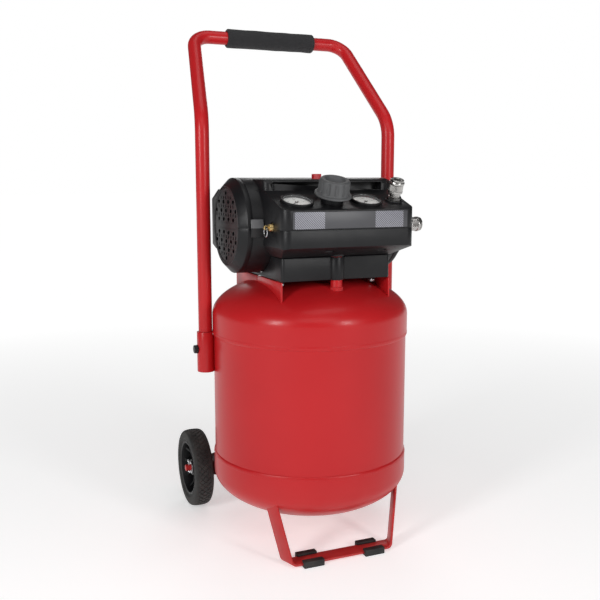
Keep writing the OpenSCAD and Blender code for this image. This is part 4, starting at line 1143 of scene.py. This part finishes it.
# a fluted knob with a cupped top
knobSizes = {"height": 0.028, "topRadius": 0.025, "flutes": 12, "skirtHeight": 0.004, "skirtRound": 0.0012,
             "cupDepth": 0.005, "cupWall": 0.008, "fluteDepth": 0.0026, "bore": 0.00806, "boreDepth": 0.019}


def buildKnob():
    place = Vector(joints["regulator_turn"]["pos_m"])
    low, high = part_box("regulator_knob")
    r0 = (high.x - low.x) / 2
    rTop = knobSizes["topRadius"]
    top = knobSizes["height"]
    s = knobSizes["skirtHeight"]
    e = knobSizes["skirtRound"]
    cup = rTop - knobSizes["cupWall"]
    cupFloor = top - knobSizes["cupDepth"]
    outline = [(knobSizes["bore"], 0), (r0 - e, 0)]
    outline += arc(r0 - e, e, e, 270, 360, 4)[1:]
    outline += [(r0, s - e)] + arc(r0 - e, s - e, e, 0, 90, 4)[1:]
    outline += [(r0 - 0.0035, s + 0.0003), (r0 - 0.0042, s + 0.002)]
    side = len(outline)
    for i in range(1, 12):
        k = i / 12
        outline.append((r0 - 0.0044 + (rTop + 0.0006 - r0 + 0.0044) * k, s + 0.002 + (top - 0.006 - s) * k))
    sideEnd = len(outline)
    outline += arc(rTop - 0.0030, top - 0.0036, 0.0036, 5, 85, 6)
    outline += [(cup + 0.0016, top), (cup + 0.0004, top - 0.0005), (cup, top - 0.0016),
                (cup - 0.0008, cupFloor + 0.001), (cup - 0.002, cupFloor), (0, cupFloor),
                (0, knobSizes["boreDepth"]),
                (knobSizes["bore"], knobSizes["boreDepth"])]

    def flute(r, z, t, k):
        if side <= k < sideEnd + 3:
            wave = math.cos(knobSizes["flutes"] * t)
            grip = max(0.0, -wave) ** 0.6 if wave < 0 else 0.0
            fade = min(1.0, (z - s) / 0.004) * (1.0 if k < sideEnd else 0.6 - 0.2 * (k - sideEnd))
            r -= knobSizes["fluteDepth"] * grip * max(0.0, fade)
        return r, z

    shaped(lathe(outline, place, deckUp, 288, flute),
           "regulatorKnob", "grey_plastic", "regulator_knob", smoothAngle=40)


buildKnob()
gaugeSizes = {"bezel": 0.0275, "dial": 0.0235, "height": 0.0046, "lift": 0.0005, "caseDepth": 0.0222,
              "caseInset": 0.003, "stem": 0.005, "stemDepth": 0.0389, "ticks": 31, "numbers": 5,
              "numberHigh": 0.0034, "numberInset": 0.0092, "tick": (0.0016, 0.00022),
              "major": (0.0030, 0.00045),
              "tickInset": 0.0014, "markDrop": 0.00104, "step": 50, "start": 225, "turn": 270}


def buildGauges():
    cases, faces = [], []
    for name in ("tank_gauge", "outlet_gauge"):
        place = Vector(joints[name]["pos_m"]) + deckUp * gaugeSizes["lift"]
        b, d, h = gaugeSizes["bezel"], gaugeSizes["dial"], gaugeSizes["height"]
        outline = [(d, -0.002), (b - 0.003, -0.002), (b - 0.003, 0.00005), (b, 0.00005), (b, h - 0.0016)]
        outline += arc(b - 0.0014, h - 0.0014, 0.0014, 0, 90, 5)
        outline += [(d + 0.0012, h), (d + 0.0003, h - 0.0006), (d, h - 0.0016)]
        cases.append(lathe(outline, place, deckUp, 96))
        back, neck = -gaugeSizes["caseDepth"], b - gaugeSizes["caseInset"]
        shell = [(0, back), (neck - 0.0005, back), (neck, back + 0.0005), (neck, -0.00199), (0, -0.00199)]
        cases.append(lathe(shell, place, deckUp, 64))
        end, r = -gaugeSizes["stemDepth"], gaugeSizes["stem"]
        stem = [(0, end), (r - 0.0002, end), (r, end + 0.0002), (r, back + 0.0001), (0, back + 0.0001)]
        cases.append(lathe(stem, place, deckUp, 32))
        dial = [(0, -0.00195), (d - 0.00005, -0.00195), (d - 0.00005, -0.00105), (0, -0.00105)]
        faces.append(lathe(dial, place, deckUp, 72))
        post = [(0, -0.0011), (0.001, -0.0011), (0.001, 0.0010), (0.0008, 0.0013), (0, 0.0013)]
        faces.append(lathe(post, place, deckUp, 24))
    shaped(joined(*cases), "gaugeCases", "black_plastic", "gauge_cases")
    shaped(joined(*faces), "gaugeDials", "dial_white", "gauge_dials")


def dialMark(length, width, r):
    h = 0.00012
    points = [Vector(p) for p in [(r - length, -width / 2, 0), (r, -width / 2, 0), (r, width / 2, 0),
                                  (r - length, width / 2, 0), (r - length, -width / 2, h), (r, -width / 2, h),
                                  (r, width / 2, h), (r - length, width / 2, h)]]
    return points, [[0, 3, 2, 1], [4, 5, 6, 7], [0, 1, 5, 4], [1, 2, 6, 5], [2, 3, 7, 6], [3, 0, 4, 7]]


def numberShape(text, size):
    curve = bpy.data.curves.new("number", "FONT")
    curve.body = text
    curve.size = size
    curve.align_x = "CENTER"
    curve.align_y = "CENTER"
    curve.extrude = 0.00006
    curve.resolution_u = 3
    holder = bpy.data.objects.new("number", curve)
    bpy.context.scene.collection.objects.link(holder)
    bpy.context.view_layer.update()
    mesh = bpy.data.meshes.new_from_object(holder.evaluated_get(bpy.context.evaluated_depsgraph_get()))
    shape = [v.co.copy() for v in mesh.vertices], [list(p.vertices) for p in mesh.polygons]
    bpy.data.objects.remove(holder)
    bpy.data.meshes.remove(mesh)
    return shape


def buildDialMarks():
    full = math.radians(gaugeSizes["turn"])
    first = math.radians(gaugeSizes["start"])
    d = gaugeSizes["dial"]
    count = gaugeSizes["ticks"]
    spread = full * count / (count - 1)
    edge = d - gaugeSizes["tickInset"]
    shapes = [inARound(dialMark(*gaugeSizes["tick"], edge), count, "needle_black", -spread, first)]
    majors = gaugeSizes["numbers"]
    spread = full * majors / (majors - 1)
    shapes.append(inARound(dialMark(*gaugeSizes["major"], edge), majors, "needle_black", -spread, first))
    for i in range(majors):
        t = first - full * i / (majors - 1)
        digits = numberShape(str(i * gaugeSizes["step"]), gaugeSizes["numberHigh"])
        spot = Vector((math.cos(t), math.sin(t), 0)) * (d - gaugeSizes["numberInset"])
        shapes.append(([p + spot for p in digits[0]], digits[1]))
    points, faces = joined(*shapes)
    allPoints = []
    for name in ("tank_gauge", "outlet_gauge"):
        place = Vector(joints[name]["pos_m"]) + deckUp * (gaugeSizes["lift"] - gaugeSizes["markDrop"])
        allPoints.append(placed((points, faces), place, deckUp))
    points, faces = joined(*allPoints)
    made = piece("dialMarks", points, faces, "needle_black")
    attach(made, bodyOf["gauge_dials"])


def buildLenses():
    shapes = []
    for name in ("tank_gauge", "outlet_gauge"):
        place = Vector(joints[name]["pos_m"]) + deckUp * gaugeSizes["lift"]
        d = gaugeSizes["dial"] - 0.00005
        dome = [(0, 0.0030), (d - 0.0004, 0.0030), (d, 0.0033), (d, 0.0037), (d - 0.0006, 0.0040)]
        dome += [(d * (1 - i / 8), 0.0040 + 0.0003 * math.sin(math.pi / 2 * i / 8)) for i in range(1, 8)]
        dome += [(0, 0.0043)]
        shapes.append(lathe(dome, place, deckUp, 72))
    shaped(joined(*shapes), "gaugeLenses", "clear_lens", "gauge_lenses")


needleSizes = {"bore": 0.00107, "hub": 0.0026, "hubHigh": 0.0012, "root": 0.0018, "length": 0.0178,
               "tail": 0.005, "low": 0.0003, "high": 0.0009, "restTurn": 135}


def buildNeedle(side, joint):
    place = Vector(joints[joint]["pos_m"])
    bore, r, high, root = (needleSizes[k] for k in ("bore", "hub", "hubHigh", "root"))
    tip = needleSizes["length"]
    hub = [(bore, 0.0), (r - 0.0002, 0.0), (r, 0.0002), (r, high - 0.0003), (r - 0.0004, high), (bore, high)]
    blade = [(-0.0006, root), (-0.00022, tip - 0.0006), (0, tip), (0.00022, tip - 0.0006), (0.0006, root)]
    end = -needleSizes["tail"]
    tail = [(-0.0008, end), (0.0008, end), (0.0006, -root), (-0.0006, -root)]
    shapes = [lathe(hub, Vector(), steps=32)]
    for outline in (blade[::-1], tail):
        shapes.append(prism(outline, needleSizes["low"], needleSizes["high"], 0.0001))
    turned = placed(joined(*shapes), place, deckUp, spin=math.radians(needleSizes["restTurn"]))
    shaped(turned, side + "Needle", "needle_black", side + "_needle")


buildGauges()
buildDialMarks()
buildLenses()
buildNeedle("left", "tank_gauge")
buildNeedle("right", "outlet_gauge")
couplerSizes = {"neck": 0.0086, "bore": 0.0060, "through": 0.0042, "flats": 0.020, "hexHeight": 0.008,
                "thread": 0.0070, "threadDepth": 0.0004, "threadPitch": 0.0006, "threadEnd": -0.017,
                "length": 0.030, "collar": (0.0122, 0.015), "knurls": 72, "knurlDepth": 0.00035}


def couplerPlaces():
    mounts = {m["name"]: m for m in record["mounts"]}
    places = {}
    for side, mount in (("top", "top_coupler_bore"), ("side", "side_coupler_bore")):
        axis = Vector(mounts[mount]["axis"])
        places[side] = (Vector(mounts[mount]["pos_m"]) - axis * couplerSizes["length"], axis)
    return places


def buildCouplers():
    shapes = []
    n, b, through = couplerSizes["neck"], couplerSizes["bore"], couplerSizes["through"]
    r, depth, pitch = couplerSizes["thread"], couplerSizes["threadDepth"], couplerSizes["threadPitch"]
    end = couplerSizes["threadEnd"]
    for foot, axis in couplerPlaces().values():
        thread = [(through, end), (r - depth, end), (r, end + 0.0005)]
        thread += [(r - depth * (i % 2), end + 0.001 + pitch * i) for i in range(24)]
        thread += [(r, 0.001), (through, 0.001)]
        shapes.append(lathe(thread, foot, axis, 48))
        nut = hexNut(couplerSizes["flats"], 0, couplerSizes["hexHeight"], through)
        shapes.append(placed(nut, foot, axis))
        body = [(through, 0.0075), (n - 0.0008, 0.0075), (n, 0.0085), (n, 0.0358), (0.0110, 0.0360),
                (0.0116, 0.0364), (0.0116, 0.0380), (0.0110, 0.0385), (b + 0.0012, 0.0385), (b, 0.0375),
                (b, 0.0222), (through, 0.0220)]
        shapes.append(lathe(body, foot, axis, 64))
    foot, axis = couplerPlaces()["top"]
    hole, rim = couplerSizes["collar"]
    collar = [(hole, -0.00005), (rim, -0.00005), (rim, 0.0014), (rim - 0.0008, 0.0022), (hole, 0.0024)]
    shaped(joined(*shapes), "couplers", "nickel", "couplers")
    points, faces = lathe(collar, foot, axis, 64)
    ring = piece("couplerCollar", points, faces, "black_plastic")
    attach(ring, bodyOf["couplers"])


def buildSleeves():
    for side, (foot, axis) in couplerPlaces().items():
        outline = [(0.00868, 0.0152), (0.0090, 0.0150), (0.0120, 0.0150), (0.0124, 0.0154), (0.0124, 0.0185),
                   (0.0121, 0.0190), (0.0121, 0.0290), (0.0124, 0.0295), (0.0129, 0.0300), (0.0130, 0.0304),
                   (0.0130, 0.0336), (0.0126, 0.0342), (0.0124, 0.0350), (0.0090, 0.0350), (0.00868, 0.0348)]

        def knurl(r, z, t, k):
            if k in (5, 6):
                r -= couplerSizes["knurlDepth"] * (0.5 + 0.5 * math.cos(couplerSizes["knurls"] * t))
            return r, z

        shaped(lathe(outline, foot, axis, 288, knurl), side + "Sleeve", "nickel", side + "_sleeve")


buildCouplers()
buildSleeves()
eased("safety_valve", 0.0005)
reliefSizes = {"ring": 0.0075, "wire": 0.0009}


def buildReliefRing():
    low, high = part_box("relief_ring")
    c = (low + high) / 2
    outline = [(reliefSizes["ring"] + reliefSizes["wire"] * math.cos(t), reliefSizes["wire"] * math.sin(t))
               for t in [2 * math.pi * i / 14 for i in range(14)]]
    shaped(lathe(outline, c, (1, 0, 0), 64), "reliefRing", "zinc", "relief_ring")


buildReliefRing()
print("controls built")

# a pale floor that glows towards white away from the machine, and soft lights
lightLook = {"key": 25, "fill": 18, "back": 12, "top": 12, "sky": 0.09, "seenSky": 1.0, "soft": 13,
             "floorShade": 0.80, "glowShade": 0.46, "glowReach": 0.16, "glowStart": 0.08, "glowEnd": 0.36,
             "floorReach": 30, "boxAway": 2.4, "boxSize": (0.45, 0.75)}
boxLights = {"key": (-0.858, -0.42, 0.297), "fill": (0.352, -0.893, 0.281)}
wideLights = {"soft": ((-0.6, -2.6, 2.4), (2.2, 1.2)), "top": ((0.1, -0.4, 2.9), (1.6, 1.6)),
              "back": ((0.9, 2.4, 1.7), (1.4, 1.2))}


def buildStage():
    f = Finish("paleFloor")
    away = f.node("ShaderNodeVectorMath", {"operation": "LENGTH"}, {0: f.place}, out="Value")
    glow = f.ramp(away * lightLook["glowReach"], [(lightLook["glowStart"], 0), (lightLook["glowEnd"], 1)])
    floor = f.shade(Base_Color=f.mix(glow, (lightLook["floorShade"],) * 3, (0.0, 0.0, 0.0)), Roughness=0.8,
                    Emission_Color=f.mix(glow, (lightLook["glowShade"],) * 3, (1.0, 1.0, 1.0)),
                    Emission_Strength=1.0, Specular_IOR_Level=0.1)
    mesh = bpy.data.meshes.new("floor")
    reach = lightLook["floorReach"]
    mesh.from_pydata([(-reach, -reach, 0), (reach, -reach, 0), (reach, reach, 0), (-reach, reach, 0)], [],
                     [[0, 1, 2, 3]])
    mesh.materials.append(floor)
    ground = bpy.data.objects.new("floor", mesh)
    bpy.context.scene.collection.objects.link(ground)
    world = bpy.data.worlds.new("studio")
    world.use_nodes = True
    tree = world.node_tree
    soft = tree.nodes["Background"]
    soft.inputs["Strength"].default_value = lightLook["sky"]
    seen = tree.nodes.new("ShaderNodeBackground")
    seen.inputs["Strength"].default_value = lightLook["seenSky"]
    for back in (soft, seen):
        back.inputs["Color"].default_value = (1, 1, 1, 1)
    ray = tree.nodes.new("ShaderNodeLightPath")
    blend = tree.nodes.new("ShaderNodeMixShader")
    tree.links.new(ray.outputs["Is Camera Ray"], blend.inputs[0])
    tree.links.new(soft.outputs[0], blend.inputs[1])
    tree.links.new(seen.outputs[0], blend.inputs[2])
    tree.links.new(blend.outputs[0], tree.nodes["World Output"].inputs[0])
    bpy.context.scene.world = world


def areaLight(name, place, target, size, power):
    light = bpy.data.lights.new(name, "AREA")
    light.shape = "RECTANGLE"
    light.size, light.size_y = size
    light.energy = power
    made = bpy.data.objects.new(name, light)
    made.location = place
    made.rotation_euler = (Vector(target) - Vector(place)).to_track_quat("-Z", "Y").to_euler()
    bpy.context.scene.collection.objects.link(made)


def buildLights():
    look = Vector((0, tankAxis.y, 0.5))
    dome = Vector((-0.06, tankAxis.y - 0.15, 0.43))
    for name, way in boxLights.items():
        place = dome + Vector(way) * lightLook["boxAway"]
        areaLight(name, place, dome, lightLook["boxSize"], lightLook[name])
    for name, (place, size) in wideLights.items():
        areaLight(name, place, look, size, lightLook[name])


cameraPlace = {"east": -0.5987, "south": -1.3750, "height": 0.6692, "lens": 49.05,
               "heading": (0.38393, 0.91112, -0.14988)}


def buildCamera():
    lens = bpy.data.cameras.new("camera")
    lens.lens = cameraPlace["lens"]
    lens.sensor_width = 36
    lens.clip_start = 0.01
    made = bpy.data.objects.new("camera", lens)
    made.location = (cameraPlace["east"], cameraPlace["south"] + tankAxis.y, cameraPlace["height"])
    made.rotation_euler = Vector(cameraPlace["heading"]).to_track_quat("-Z", "Y").to_euler()
    bpy.context.scene.collection.objects.link(made)
    bpy.context.scene.camera = made


buildStage()
buildLights()
buildCamera()
bpy.context.scene.view_settings.view_transform = "Standard"
print("stage ready")
